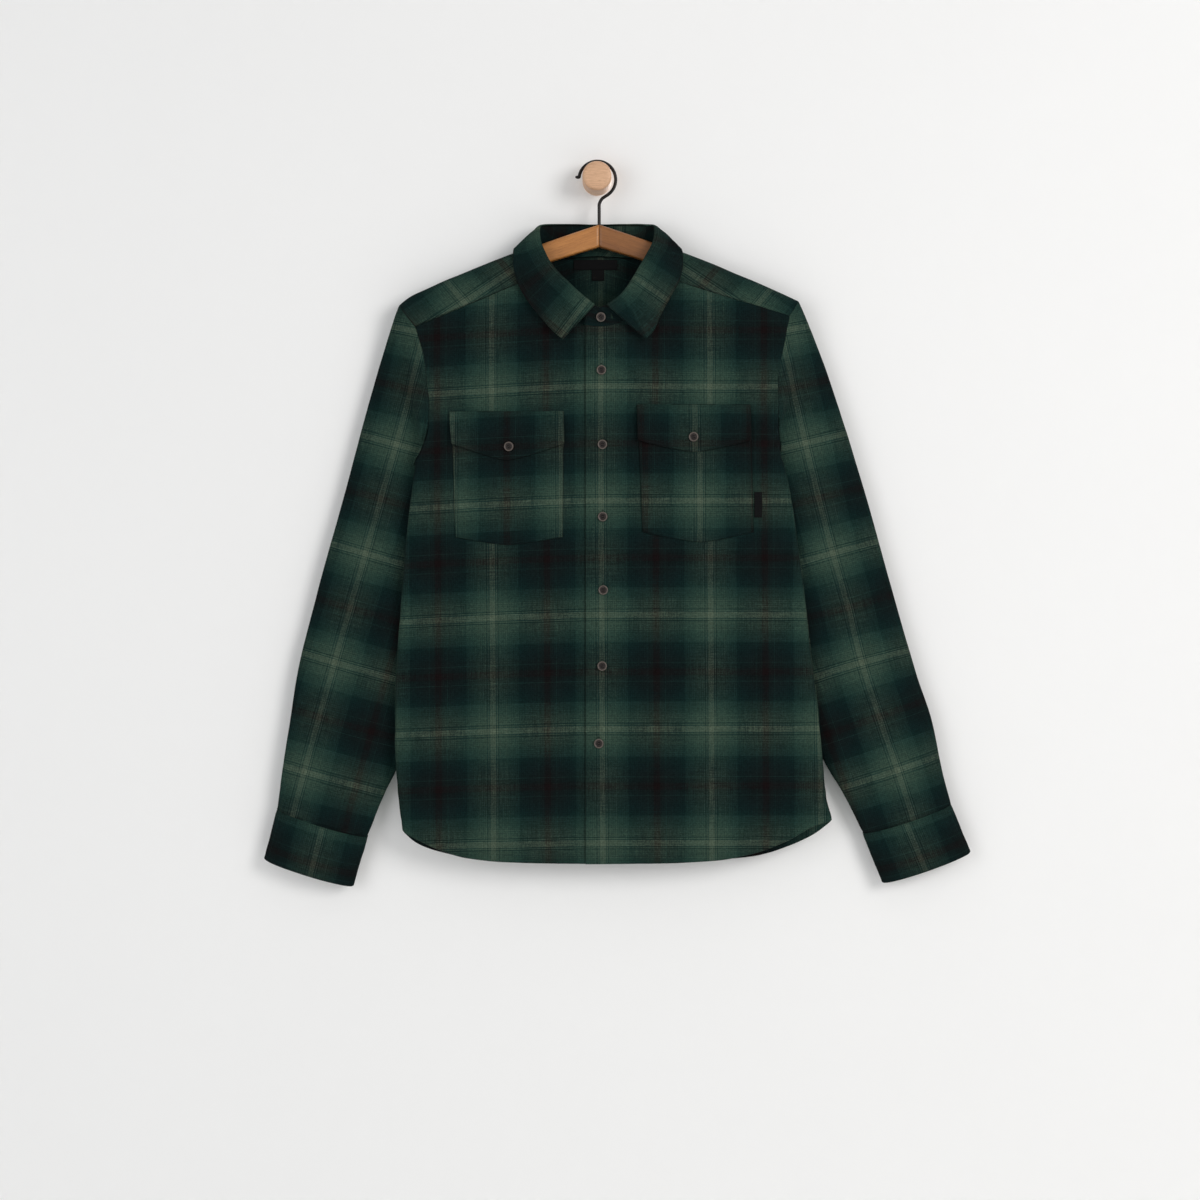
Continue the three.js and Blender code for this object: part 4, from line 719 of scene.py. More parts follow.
def wood(name, light, dark, turn, scale=1.0, rough=0.42):
    """Sawn and lacquered wood with its grain along the piece."""
    material, tree, shader = node_tree(name)
    grain = {"Rotation": (0, turn, 0), "Vector": object_coords(tree)}
    grain = add_node(tree, "Mapping", grain).outputs[0]
    broad, fine, pores = (
        noise(tree, grain, 1, detail, soft, (along * scale, across * scale, across * scale))
        for detail, soft, along, across in ((3, 0.55, 9, 120), (4, 0.65, 45, 900), (2, 0.5, 160, 2600)))
    color = mix_colors(tree, broad, (*dark, 1), (*light, 1))
    streak = ramp(tree, fine, [(0.3, (0.72, 0.66, 0.60)), (0.62, (1, 1, 1))])
    color = mix_colors(tree, 0.75, color, streak, "MULTIPLY")
    pits = ramp(tree, pores, [(0.30, (0.55, 0.48, 0.42)), (0.42, (1, 1, 1))])
    plug(shader, {
        "Base Color": mix_colors(tree, 0.6, color, pits, "MULTIPLY"),
        "Roughness": plus(tree, rough - 0.1, fine, 0.2), "Coat Weight": 0.15, "Coat Roughness": 0.35,
    })
    add_bump(tree, shader, fine, 0.25, 0.0003)
    return material


def plain(name, color, rough, metal=0.0, speck=0.15, size=900, gloss=0.5):
    """A surface of one colour with fine variation in colour, gloss and relief."""
    material, tree, shader = node_tree(name)
    field = noise(tree, object_coords(tree), size, 4, 0.6)
    plug(shader, {
        "Base Color": mix_colors(tree, field, *around_color(color, 1 - speck, 1 + speck)),
        "Roughness": plus(tree, rough - 0.08, field, 0.16), "Metallic": metal,
        "Specular IOR Level": gloss,
    })
    add_bump(tree, shader, field, 0.3, 0.0002)
    return material


def button_plastic(name, rim, middle):
    """Polished plastic with painted light: its rim lighter as a painted highlight, its dished middle and
    outer side darker as painted shade.
    """
    material, tree, shader = node_tree(name)
    uv = cloth_coords(tree)
    length = add_node(tree, "VectorMath", {0: uv}, operation="LENGTH").outputs["Value"]
    share = math_node(tree, "DIVIDE", length, BUTTON_RADIUS * MM)
    # Painted light by distance from the middle: painted shade in the dish and at the outer side, a painted
    # highlight on the rim
    color = ramp(tree, share, [(0.70, middle), (0.80, rim), (0.95, rim), (1.0, middle)])
    cloud = noise(tree, uv, 500, 4, 0.6)
    shade = gray(tree, math_node(tree, "ADD", cloud, 0.5))
    plug(shader, {
        "Base Color": mix_colors(tree, 1.0, color, shade, "MULTIPLY"),
        "Roughness": plus(tree, 0.24, cloud, 0.16), "Specular IOR Level": 0.3,
    })
    add_bump(tree, shader, cloud, 0.2, 0.0002)
    return material


def woven_ribbon(name, color):
    """Label ribbon: a tight satin weave in one colour."""
    material, tree, shader = node_tree(name)
    uv = cloth_coords(tree)
    across, down = (noise(tree, uv, 1, 2, 0.5, way) for way in ((3200, 300, 1), (300, 3200, 1)))
    weave = math_node(tree, "ADD", across, down)
    half = math_node(tree, "MULTIPLY", weave, 0.5)
    plug(shader, {
        "Base Color": mix_colors(tree, half, *around_color(color, 0.6, 1.5)),
        "Roughness": 0.7, "Specular IOR Level": 0.06,
    })
    add_bump(tree, shader, weave, 0.35, 0.0002)
    return material


FLANNEL = flannel("flannel")
THREAD = plain("sewing_thread", (0.008, 0.016, 0.015), 0.8, speck=0.3, size=2500, gloss=0.1)
# The button's rim colour is a painted highlight and its middle colour is painted shade
BUTTON_PLASTIC_PAINTED_LIGHT = button_plastic("button_plastic", (0.100, 0.082, 0.070), (0.020, 0.0145, 0.0130))
BUTTON_THREAD = plain("button_thread", (0.008, 0.010, 0.010), 0.8, speck=0.3, size=2500, gloss=0.1)
LABEL = woven_ribbon("label_black", (0.0042, 0.0042, 0.0046))
WIRE = plain("hook_wire", (0.012, 0.010, 0.009), 0.40, metal=0.5, speck=0.3, size=400)
# Both arms are one wood: the right arm's colours are painted about half as bright, as painted shade
WOOD = {
    "left": wood("hanger_wood_left", (0.60, 0.26, 0.068), (0.36, 0.142, 0.038), 0.32),
    "right": wood("hanger_wood_right_painted_shade", (0.315, 0.124, 0.031), (0.18, 0.067, 0.018), -0.32),
}
PEG_WOOD = wood("peg_wood", (0.74, 0.47, 0.29), (0.60, 0.35, 0.21), 0.0, 0.8, 0.55)


def dress(name, sheet, uv, relief, slot, seams, flat, rests_on, thread="", nodes=(), cloth=FLANNEL,
          **other):
    """Makes a sheet into a sewn piece of cloth.

    Each seam is an edge, how far from it the stitches run and how far they stand up.
    """
    obj = mount(shell(name, sheet, uv, relief, **other), cloth, slot, *(nodes or [name]))
    verts, faces = stitches([seam_line(sheet, *seam) for seam in seams])
    sewn = mount(new_object(f"stitches_{thread or name}", verts, faces), THREAD, slot)
    min(sheet.area(), flat[0] * flat[1])


# Stitches and buttonholes

STITCH_PITCH, STITCH_LENGTH, STITCH_RADIUS = 2.8, 2.0, 0.24
STITCH_FACES = ((0, 1, 2), (0, 2, 3), (4, 2, 1), (4, 3, 2))


def seam_line(sheet, edge, distance, rise, start=0.0, part=slice(None)):
    """Points and normals on the cloth at a distance from one edge of its grid."""
    axis, last = edge
    rows = [sheet.from_edge(axis, last)[..., None], sheet.points, sheet.normal]
    if axis == 0:
        rows = [row.swapaxes(0, 1) for row in rows]
    if last:
        rows = [row[:, ::-1] for row in rows]
    rows = np.concatenate(rows, -1)[part]
    rows = rows[int(start * (len(rows) - 1)):]
    line = np.array([[np.interp(distance, row[:, 0], row[:, k]) for k in range(1, 7)] for row in rows])
    normal = unit(line[:, 3:])
    return line[:, :3] + normal * (sheet.thick / 2 + rise), normal


def stitches(lines):
    """Points and faces of small thread stitches along lines of (points, normals)."""
    verts, faces = [], []
    for points, normal in lines:
        far = run_length(points)

        def along(values, s):
            return np.array([np.interp(s, far, column) for column in values.T])

        for k in range(int(far[-1] / STITCH_PITCH)):
            middle = (k + 0.5) * STITCH_PITCH
            a, b, c = (along(points, middle + s * STITCH_LENGTH / 2) for s in (-1, 0, 1))
            up = along(normal, middle)
            side, lift = unit(np.cross(c - a, up)) * STITCH_RADIUS, up * STITCH_RADIUS
            faces += [[len(verts) + i for i in face] for face in STITCH_FACES]
            verts += [a - lift, b + side, b + lift, b - side, c - lift]
    return verts, faces


def turned(distance, width, power=8, thick=0.45):
    """The second layer of an edge turned under."""
    return thick * np.exp(-((distance / width) ** power))


def groove(distance, at_mm, width=0.9, depth=0.3):
    """A shallow trench along a line of stitches."""
    return -depth * np.exp(-(((distance - at_mm) / width) ** 2))


def pucker(along, distance, reach, seed, size=9.0, height=0.5):
    """Small waves that a seam draws into the cloth beside it."""
    return height * ripple(along, distance * 0.25, seed, size) * np.exp(-(distance / reach) ** 2)


# Fronts

FRONT_EDGE = {"left": 20.0, "right": -13.5}
LAP_SHIFT, LAP_INSIDE, LAP_FADE = 1.25, 22.0, 46.0
HEM_TURNED = 9.0
# How far the stitches lie from their edges
HEM_LINE, EDGE_LINE, FIRM_LINE, POCKET_LINE = 8.6, 5.0, 2.5, 2.2
CORNER_SHARE, ARMPIT_SHARE = 0.36, 0.71


def patch(low, high, near, far, a, b):
    """A patch between four edges, at a across (columns) and b up (rows)."""
    across = lerp(low(a)[None], high(a)[None], b[:, None, None])
    upward = lerp(near(b)[:, None], far(b)[:, None], a[None, :, None])
    a, b = a[None, :, None], b[:, None, None]
    ends = np.array([0.0, 1.0])
    (low0, low1), (high0, high1) = low(ends), high(ends)
    place = across + upward - lerp(lerp(low0, low1, a), lerp(high0, high1, a), b)
    return place[..., 0], place[..., 1]


def side_edge(side, armhole, t):
    """The side of the front or the back, from the hem past the armpit to the yoke."""
    low, high = in_two(t, ARMPIT_SHARE)
    z = lerp(HEM_CORNER[side], ARMPIT[side], low)
    z2 = lerp(ARMPIT[side], armhole["z"][0], high)
    return choose(t <= ARMPIT_SHARE, vec(side_seam(side, z), z), vec(at(armhole, "z", "x", z2), z2))


def front_patch(side, a, b):
    start_x = FRONT_EDGE[side]
    corner_x = CENTRE_X + SIGN[side] * NECK_HALF
    armhole = ARMHOLE_FRONT[side]
    hem_s = side_seam(side, HEM_CORNER[side])

    def low(t):
        s = lerp(start_x, hem_s, t)
        part = np.clip((s - CENTRE_X) / (hem_s - CENTRE_X), 0, 1)
        return vec(s, at(HEM, "part", side, part))

    def high(t):
        neck, seam = in_two(t, CORNER_SHARE)
        x = lerp(start_x, corner_x, neck)
        beyond = vec(lerp(corner_x, armhole["x"][0], seam), lerp(NECK_CORNER_Z, armhole["z"][0], seam))
        return choose(t <= CORNER_SHARE, vec(x, neck_z(x)), beyond)

    def near(t):
        start = np.array([0.0])
        return vec(start_x, lerp(low(start)[0, 1], high(start)[0, 1], t))

    return patch(low, high, near, lambda t: side_edge(side, armhole, t), a, b)


def lap_shift(side, x):
    inward = (x - CENTRE_X) * SIGN[side]
    return SIGN[side] * LAP_SHIFT * ease((LAP_FADE - inward) / (LAP_FADE - LAP_INSIDE))


WEFT_FROM_Z, WARP_FROM_X = -254.4, 5.0
WARP_DRIFT, WARP_DRIFT_FROM = -0.005, -300


def body_uv(s, z, slant=True):
    """The body's plaid: a light stripe down the front edge, one across below the collar."""
    drift = WARP_DRIFT * np.maximum(WARP_DRIFT_FROM - z, 0)
    left = np.clip(-s / 230, 0, 1.2) ** 1.3
    droop = left * np.interp(-z, (200, 550, 830), (11.5, 9.0, 5.0)) if slant else 0
    return vec(s - WARP_FROM_X + drift, z - WEFT_FROM_Z + droop)


def spaced(count, fine=1.0):
    """Places from 0 to 1 with a few extra close to each end, for crisp edges."""
    extra = fine * np.array([0.001, 0.003, 0.006])
    return np.unique(np.concatenate([np.linspace(0, 1, count), extra, 1 - extra]))


def seam_tuck(distance, reach=3.0, depth=0.5):
    """How far the cloth turns in where it meets a seam."""
    return -depth * np.exp(-(distance / reach) ** 1.5)


def front_panel(side):
    under = side == "right"
    s, z = front_patch(side, spaced(84), spaced(200))
    points = body_point(s, z, "front")
    points[..., 1] -= lap_shift(side, s)
    sheet = Sheet(points, CLOTH, (0, -1, 0))
    seed = 12 if under else 11
    inner, outer, hem, top = sheet.from_edges(COLUMN_0, COLUMN_N, ROW_0, ROW_N)
    calm = ease(inner / 45) * ease(hem / 30)
    height = creases(FRONT_CREASES, points[..., 0], z) * ease(inner / 25)
    height += 0.55 * ripple(s, z, seed, 62) * calm + 0.22 * ripple(s, z, seed + 5, 21) * calm
    height += pucker(z, outer, 14, seed + 7)
    height += pucker(s, hem, 10, seed + 8, 11, 0.45) + pucker(s, top, 12, seed + 9, 10, 0.3)
    height += seam_tuck(top, 3.2, 0.7) + seam_tuck(outer)
    if under:
        height = height * ease((np.abs(s) - 18) / 20)
        height += 0.35 * ripple(z, 0 * s, 31, 26) * (1 - ease(inner / 26))
    sheet.moved(height)
    relief = turned(hem, HEM_TURNED) + groove(hem, HEM_LINE, 1.1, 0.35)
    seams = [(ROW_0, HEM_LINE, 0.35)]
    if under:
        relief = relief + turned(inner, 31.0, 12, 0.25)
        seams.append((COLUMN_0, 30.5, 0.1))
    dress(f"front_{side}", sheet, body_uv(s, z), relief, "flannel_body", seams,
          (0.30, 0.72), ["yoke"])


BACK_SHIFT = np.array([9.0, -50.0])


def back_panel():
    hem_end = {side: side_seam(side, HEM_CORNER[side]) for side in SIDES}
    ends = {side: ARMHOLE_BACK[side]["x"][0] for side in SIDES}

    def low(t):
        s = lerp(hem_end["left"], hem_end["right"], t)
        part = (s - CENTRE_X) / (by_side(s, hem_end["left"], hem_end["right"]) - CENTRE_X)
        part = np.clip(part, 0, 1)
        corner = by_side(s, HEM_CORNER["left"], HEM_CORNER["right"])
        drop = (corner - HEM["back"][-1]) * ease((part - 0.6) / 0.4)
        return vec(s, at(HEM, "part", "back", part) + drop)

    def high(t):
        return vec(lerp(ends["left"], ends["right"], t), YOKE_SEAM_Z)

    def edge(side):
        return lambda t: side_edge(side, ARMHOLE_BACK[side], t)

    s, z = patch(low, high, edge("left"), edge("right"), spaced(130), spaced(170))
    sheet = Sheet(body_point(s, z, "back"), CLOTH, (0, 1, 0))
    left, right, hem, top = sheet.from_edges(COLUMN_0, COLUMN_N, ROW_0, ROW_N)
    aside = np.minimum(left, right)
    calm = ease(aside / 30)
    height = creases(BACK_CREASES, s, z) + 0.7 * ripple(s, z, 21, 70) * calm
    height += 0.25 * ripple(s, z, 22, 22) * calm + pucker(z, aside, 14, 23)
    height += pucker(s, hem, 10, 24, 11, 0.5) + pucker(s, top, 12, 25, 10, 0.35)
    sheet.moved(height + seam_tuck(top, 3.2, 0.7))
    relief = turned(hem, HEM_TURNED) + groove(hem, HEM_LINE, 1.1, 0.35)
    dress("back", sheet, body_uv(s, z, False) + BACK_SHIFT, relief, "flannel_body",
          [(ROW_0, HEM_LINE, 0.35)], (0.56, 0.66), ["yoke"])


# Yoke

def yoke_edge(side, along):
    rows = [ARMHOLE_FRONT[side], ARMHOLE_BACK[side]]
    x, z = (np.where(along < 0, rows[0][k][0], rows[1][k][0]) for k in "xz")
    share = np.minimum(np.abs(along) / yoke_along(x, z), 1)
    return lerp(SHOULDER_TIP[side], x, share ** YOKE_EDGE_POWER)


YOKE_FIRST, YOKE_LAST, YOKE_LINE = -18.0, 13.4, 5.2
YOKE_FRONT_ROWS, YOKE_RIDGE_ROWS, YOKE_BACK_ROWS, YOKE_NECK_CELLS = 13, 22, 34, 44
# The yoke is cut in two halves, each with a light stripe across the neck end of its front
# seam and one across the shoulder, through these places
YOKE_STRIPE = {"left": dict(run=(-113.0, -125.6), cross=(-173.4, -141.3)),
               "right": dict(run=(115.0, -123.6), cross=(205.7, -145.0))}
RUN_SLOPE, CROSS_SLOPE = math.radians(33.5), math.radians(50)


def yoke_uv(x, along):
    """Cloth coordinates on the yoke: the halves outside, and the straight facing inside."""
    height = ridge_z(x) + along
    halves = []
    for side in SIDES:
        (run_x, run_z), (cross_x, cross_z) = YOKE_STRIPE[side]["run"], YOKE_STRIPE[side]["cross"]
        run, cross = SIGN[side] * (x - run_x), SIGN[side] * (cross_x - x)
        halves.append(vec(cross * math.sin(CROSS_SLOPE) + (height - cross_z) * math.cos(CROSS_SLOPE),
                          run * math.sin(RUN_SLOPE) + (height - run_z) * math.cos(RUN_SLOPE)))
    return choose(x < CENTRE_X, *halves), vec(x - WARP_FROM_X, -along - 20)


def yoke_grid(splits):
    """Places on the yoke as x and the way along it, with a bay where the neck is."""
    gap = np.full(YOKE_NECK_CELLS - 1, np.nan)
    rows = []

    def shoulder(side, along):
        neck = CENTRE_X + SIGN[side] * at(NECK_BACK, "along", "out", along)
        return vec(lerp(neck, yoke_edge(side, along), splits), along)

    def seam(side):
        end = ARMHOLE_FRONT[side]
        x = lerp(CENTRE_X + SIGN[side] * NECK_HALF, end["x"][0], splits)
        return vec(x, -yoke_along(x, lerp(NECK_CORNER_Z, end["z"][0], splits)))

    def add(left, right):
        rows.append(np.concatenate([left[::-1], vec(gap, gap), right]))

    for share in np.linspace(0, 1, YOKE_FRONT_ROWS)[:-1]:
        add(*(lerp(seam(side), shoulder(side, YOKE_FIRST), share) for side in SIDES))
    for along in np.linspace(YOKE_FIRST, YOKE_LAST, YOKE_RIDGE_ROWS)[:-1]:
        add(*(shoulder(side, along) for side in SIDES))
    neck_start = at(NECK_BACK, "along", "t", YOKE_LAST)
    t = np.linspace(0, 1, YOKE_NECK_CELLS + 1)[1:-1]
    t2 = lerp(neck_start, 1, 1 - np.abs(2 * t - 1))
    out = np.where(t < 0.5, -1, 1) * at(NECK_BACK, "t", "out", t2)
    neck = vec(CENTRE_X + out, at(NECK_BACK, "t", "along", t2))
    left, right = (shoulder(side, YOKE_LAST) for side in SIDES)
    top_x, top_along = np.concatenate([left[::-1], neck, right]).T
    ends = [ARMHOLE_BACK[side]["x"][0] for side in SIDES]
    seam_x = np.clip(top_x, ends[0] + 3, ends[1] - 3)
    seam_x[0], seam_x[-1] = ends
    for share in np.linspace(0, 1, YOKE_BACK_ROWS):
        place = lerp(top_along, yoke_along(seam_x, YOKE_SEAM_Z), share)
        x = lerp(top_x, seam_x, share)
        x[0], x[-1] = yoke_edge("left", place[0]), yoke_edge("right", place[-1])
        rows.append(vec(x, place))
    return np.moveaxis(np.array(rows), -1, 0)


def yoke_panel():
    splits = spaced(60, 0.5)
    x, along = yoke_grid(splits)
    mask = ~np.isnan(x)
    x, along = np.where(mask, x, CENTRE_X), np.where(mask, along, 0)
    # The grid has a bay at the neck, so its normals come from the yoke's own surface
    step = 0.8
    across_way = yoke_point(x + step, along) - yoke_point(x - step, along)
    along_way = yoke_point(x, along + step) - yoke_point(x, along - step)
    outward = unit(np.cross(across_way, along_way))
    sheet = Sheet(yoke_point(x, along), CLOTH, outward, mask=mask)
    front_far, back_far = sheet.from_edges(ROW_0, ROW_N)
    height = 0.3 * ripple(x, along, 41, 40) + creases(YOKE_CREASES, x, along)
    height = height * ease(front_far / 12) * ease(back_far / 12) + 0.4 * seam_tuck(front_far, 3.2, 0.7)
    sheet.points = sheet.points + outward * height[..., None]
    sheet.normal = outward
    uv, uv_inside = yoke_uv(x, along)
    relief = turned(front_far, 5.5, thick=0.25) + groove(front_far, YOKE_LINE) + groove(back_far, YOKE_LINE)
    relief = relief + np.where(along > 0, groove(np.abs(x - CENTRE_X), 0.0, 0.9, 0.5), 0)
    count = len(splits)
    seams = [(ROW_0, YOKE_LINE, 0.1, 0, part) for part in (slice(0, count), slice(-count, None))]
    seams.append((ROW_N, YOKE_LINE, 0.1))
    dress("yoke", sheet, uv, relief, "flannel_body", seams, (0.50, 0.24),
          ["hanger_arm_left", "hanger_arm_right"], uv_other=uv_inside, other_cells=(False, True))


# Sleeves and cuffs

def armhole_point(side, w):
    """The armhole at w: 0 shoulder tip, 0.25 front, 0.5 armpit, 0.75 back."""
    def half(rows, t, face, way):
        first, second = in_two(t, YOKE_SHARE)
        along = yoke_along(rows["x"][0], rows["z"][0]) * first * way
        on_yoke = yoke_point(yoke_edge(side, along), along)
        z = lerp(rows["z"][0], ARMPIT[side], second)
        return choose(t <= YOKE_SHARE, on_yoke, body_point(at(rows, "z", "x", z), z, face))
    front = half(ARMHOLE_FRONT[side], w / 0.5, "front", -1)
    return choose(w <= 0.5, front, half(ARMHOLE_BACK[side], (1 - w) / 0.5, "back", 1))


def oval(outer, inner, w, half_depth, sag):
    wave_at = np.sin(w * 2 * math.pi)
    bulge = np.sign(wave_at) * np.abs(wave_at) ** 0.8
    point = lerp(outer, inner, (1 - np.cos(w * 2 * math.pi))[..., None] / 2)
    return point - vec(0, half_depth * bulge, sag * wave_at)


def tube_point(side, v, w):
    outer, inner = (vec(*(at(rows[side], "v", k, v) for k in "xyz"))
                    for rows in (SLEEVE_OUTER, SLEEVE_INNER))
    return oval(outer, inner, w, SLEEVE_HALF_DEPTH, SAG * ease((v - 0.6) / 0.4))


def sleeve_point(side, v, w):
    tube_at = tube_point(side, v, w)
    share = np.clip(v / CAP_LENGTH, 0, 1)
    seam = armhole_point(side, w)
    under = 1 - np.minimum(np.abs(w - 0.5) / UNDERARM, 1)
    late = np.where(w < 0.5, np.sin(w * 2 * math.pi) ** 2 * (1 - under), 0)
    across = lerp(share, share ** 2, ease(under))
    creased = lerp(share, ease((share - CAP_CREASE) / CAP_CREASE_WIDTH), late)
    deep = lerp(creased, ease(share / 0.3), ease(under))
    shift = SIGN[side] * (CLOTH + SEAM) * ease(under * 2) * (1 - share)
    x = lerp(seam[..., 0], tube_at[..., 0], across) + shift
    y = lerp(seam[..., 1], tube_at[..., 1], deep)
    z = lerp(seam[..., 2], tube_at[..., 2], across)
    return vec(x, y, z)


# The light stripe that runs down each sleeve, and where its first cross stripe lies
SLEEVE_STRIPE = {
    "left": table("z x", (-120, -190), (-286.5, -232.4), (-454.7, -279.5), (-586.3, -317),
                  (-753.6, -363), (-870, -393)),
    "right": table("z x", (-120, 205), (-255.1, 237.1), (-318, 251.6), (-454.7, 285.5),
                   (-518, 303.7), (-587, 320.6), (-665.3, 346), (-714.9, 363), (-766.9, 379.9),
                   (-870, 412)),
}
SLEEVE_CROSS_Z = {"left": -322.8, "right": -321.0}
SLEEVE_LONG, SLEEVE_BACK_SHIFT, SLEEVE_COLUMNS, CAP_LINE = 660, 37, 128, 6.0


def sleeve_uv(side, points, back):
    stripe = SLEEVE_STRIPE[side]
    z = points[..., 2]
    x = at(stripe, "z", "x", z)
    slope = (at(stripe, "z", "x", z + 8) - at(stripe, "z", "x", z - 8)) / 16
    stretch = np.sqrt(1 + slope ** 2)
    heights = np.linspace(-900, -100, 200)
    length = run_length(vec(heights, at(stripe, "z", "x", heights)))
    zero = np.interp(SLEEVE_CROSS_Z[side], heights, length)
    off = points[..., 0] - x
    v = np.interp(z, heights, length) - zero + off * slope / stretch
    u = off / stretch
    if back:
        outer = tube_point(side, np.linspace(0, 1, 50), np.zeros(50))
        edge_x = np.interp(z, outer[::-1, 2], outer[::-1, 0])
        u = 2 * (edge_x - x) / stretch - u
    return vec(u, v)


def sleeve(side):
    v = np.unique(np.concatenate([
        np.linspace(0.002, CAP_LENGTH, 40), np.linspace(CAP_LENGTH, 0.9995, 130), [0.9945, 0.997, 0.999],
    ]))
    w, inner = np.arange(SLEEVE_COLUMNS) / SLEEVE_COLUMNS, SLEEVE_COLUMNS // 2
    v, w = np.meshgrid(v, w, indexing="ij")
    points = sleeve_point(side, v, w)
    sheet = Sheet(points, CLOTH, away_from_middle(points), around=True)
    top, end = sheet.from_edges(ROW_0, ROW_N)
    step = np.linalg.norm(np.roll(points, -1, 1) - points, axis=-1)
    far = np.cumsum(step, 1) - step
    around = np.abs(far - far[:, inner:inner + 1])
    down = SLEEVE_LONG * v
    seed = 51 if side == "left" else 61
    shift = np.where(np.sin(w * 2 * math.pi) > 0, 0, SLEEVE_BACK_SHIFT)
    height = creases(SLEEVE_CREASES[side], around, down + shift)
    height += 0.55 * ripple(around + shift * 9, down, seed, 48) * ease(top / 25) * ease(end / 20)
    height += 0.25 * ripple(around + shift * 9, down, seed + 1, 18) * ease(top / 25)
    height += pucker(w * 300, end, 16, seed + 2, 9, 0.8) + pucker(w * 460, top, 14, seed + 3, 10, 0.5)
    height += seam_tuck(end, 3.0, 0.6)
    height *= ease(np.minimum(w, 1 - w) * 40 + 0.2)
    height *= 1 - 0.85 * np.exp(-((np.abs(w - 0.5) / 0.16) ** 2)) * (v < 0.2)
    sheet.moved(height)
    uv, uv_back = (sleeve_uv(side, sheet.points, back) for back in (False, True))
    back_cells = (np.arange(SLEEVE_COLUMNS) >= inner)[None, :]
    dress(f"sleeve_{side}", sheet, uv, groove(top, CAP_LINE, 1.0), "flannel_sleeve",
          [(ROW_0, CAP_LINE, 0.05)], (0.44, 0.66), [f"front_{side}", "back", "yoke"],
          nodes=[f"sleeve_upper_{side}", f"sleeve_lower_{side}"],
          uv_other=uv_back, other_cells=(back_cells, back_cells))


def cuff_ring(side, t, w):
    outer_x, outer_z, inner_x, inner_z = CUFF_END[side]
    outer, inner = (
        vec(lerp(rows[side]["x"][-1], x, t), SLEEVE_Y, lerp(rows[side]["z"][-1], z, t))
        for rows, x, z in ((SLEEVE_OUTER, outer_x, outer_z), (SLEEVE_INNER, inner_x, inner_z)))
    return oval(outer, inner, w, CUFF_HALF_DEPTH, SAG)


def cuff_point(side, t, turn):
    """A place on the cuff: down its length and round the wrist, where its end laps over."""
    w = (CUFF_START + turn) % 1
    outer, inner = cuff_ring(side, t, 0 * w), cuff_ring(side, t, 0 * w + 0.5)
    across, point = inner - outer, cuff_ring(side, t, w)
    flatness = (2 * CUFF_HALF_DEPTH / np.linalg.norm(across, axis=-1, keepdims=True)) ** 2
    across = unit(across)
    out = point - lerp(outer, inner, 0.5)
    out = unit(out - across * (out * across).sum(-1, keepdims=True) * (1 - flatness))
    return point + out * (CUFF_APART * ease((turn - CUFF_LIFT_FROM) / CUFF_LIFT_OVER))[..., None]


CUFF_STRIPE_TURN = 0.53


def cuff(side):
    t, turn = lerp(CUFF_TOP, CUFF_BOTTOM, spaced(34)), spaced(170, 0.2) * (1 + CUFF_LAP)
    t, turn = np.meshgrid(t, turn, indexing="ij")
    points = cuff_point(side, t, turn)
    sheet = Sheet(points, FIRM, away_from_middle(points))
    top, low, start, end = sheet.from_edges(ROW_0, ROW_N, COLUMN_0, COLUMN_N)
    seed = 71 if side == "left" else 81
    rim = np.minimum.reduce([low, start, end])
    height = 0.35 * ripple(start, top, seed, 26) + pucker(start, rim, 7, seed + 1, 8, 0.35)
    height += 0.2 * ripple(start, top, seed + 2, 11) + seam_tuck(top, 3.0, 0.4)
    lapped = ease(turn / 0.1) - ease((turn - 0.9) / 0.1)
    sheet.moved(height * np.clip(lapped, 0.15, 1))
    stripe_at = start[:, -1:].mean() * CUFF_STRIPE_TURN / (1 + CUFF_LAP)
    relief = groove(rim, EDGE_LINE) + groove(top, FIRM_LINE, 0.9, 0.2)
    seams = [(edge, EDGE_LINE, 0.05) for edge in (ROW_N, COLUMN_0, COLUMN_N)]
    dress(f"cuff_{side}", sheet, vec(start - stripe_at, top + 22), relief, "flannel_trim",
          [*seams, (ROW_0, FIRM_LINE, 0.05)], (0.26, 0.065), [f"sleeve_lower_{side}"])


def sleeve_placket(side):
    t, a = np.meshgrid(spaced(60), spaced(16), indexing="ij")
    middle = (PLACKET_FROM + PLACKET_TO) / 2
    w = lerp(PLACKET_FROM, PLACKET_TO, a) - middle
    w = middle + w * (0.15 + 0.85 * ease(t / 0.12))
    points = tube_point(side, lerp(PLACKET_FROM_V, PLACKET_TO_V, t), w)
    points[..., 1] += CLOTH + LAY + 0.6
    sheet = Sheet(points, CLOTH, (0, 1, 0))
    edge = np.minimum(*sheet.from_edges(COLUMN_0, COLUMN_N))
    sheet.moved(0.2 * ripple(t * 120, a * 20, 91, 14))
    across, down = sheet.from_edges(COLUMN_0, ROW_0)
    seams = [(column, POCKET_LINE, 0.05, 0.12) for column in (COLUMN_0, COLUMN_N)]
    dress(f"sleeve_placket_{side}", sheet, vec(across + 20, -down), groove(edge, POCKET_LINE, 0.8),
          "flannel_sleeve", seams, (0.032, 0.125), [f"sleeve_lower_{side}"], f"placket_{side}")


# Collar

def fold_at(side, t):
    return vec(*(at(COLLAR, "t", column, t) for column in (f"fold_{side}", "fold_y", "fold_z")))


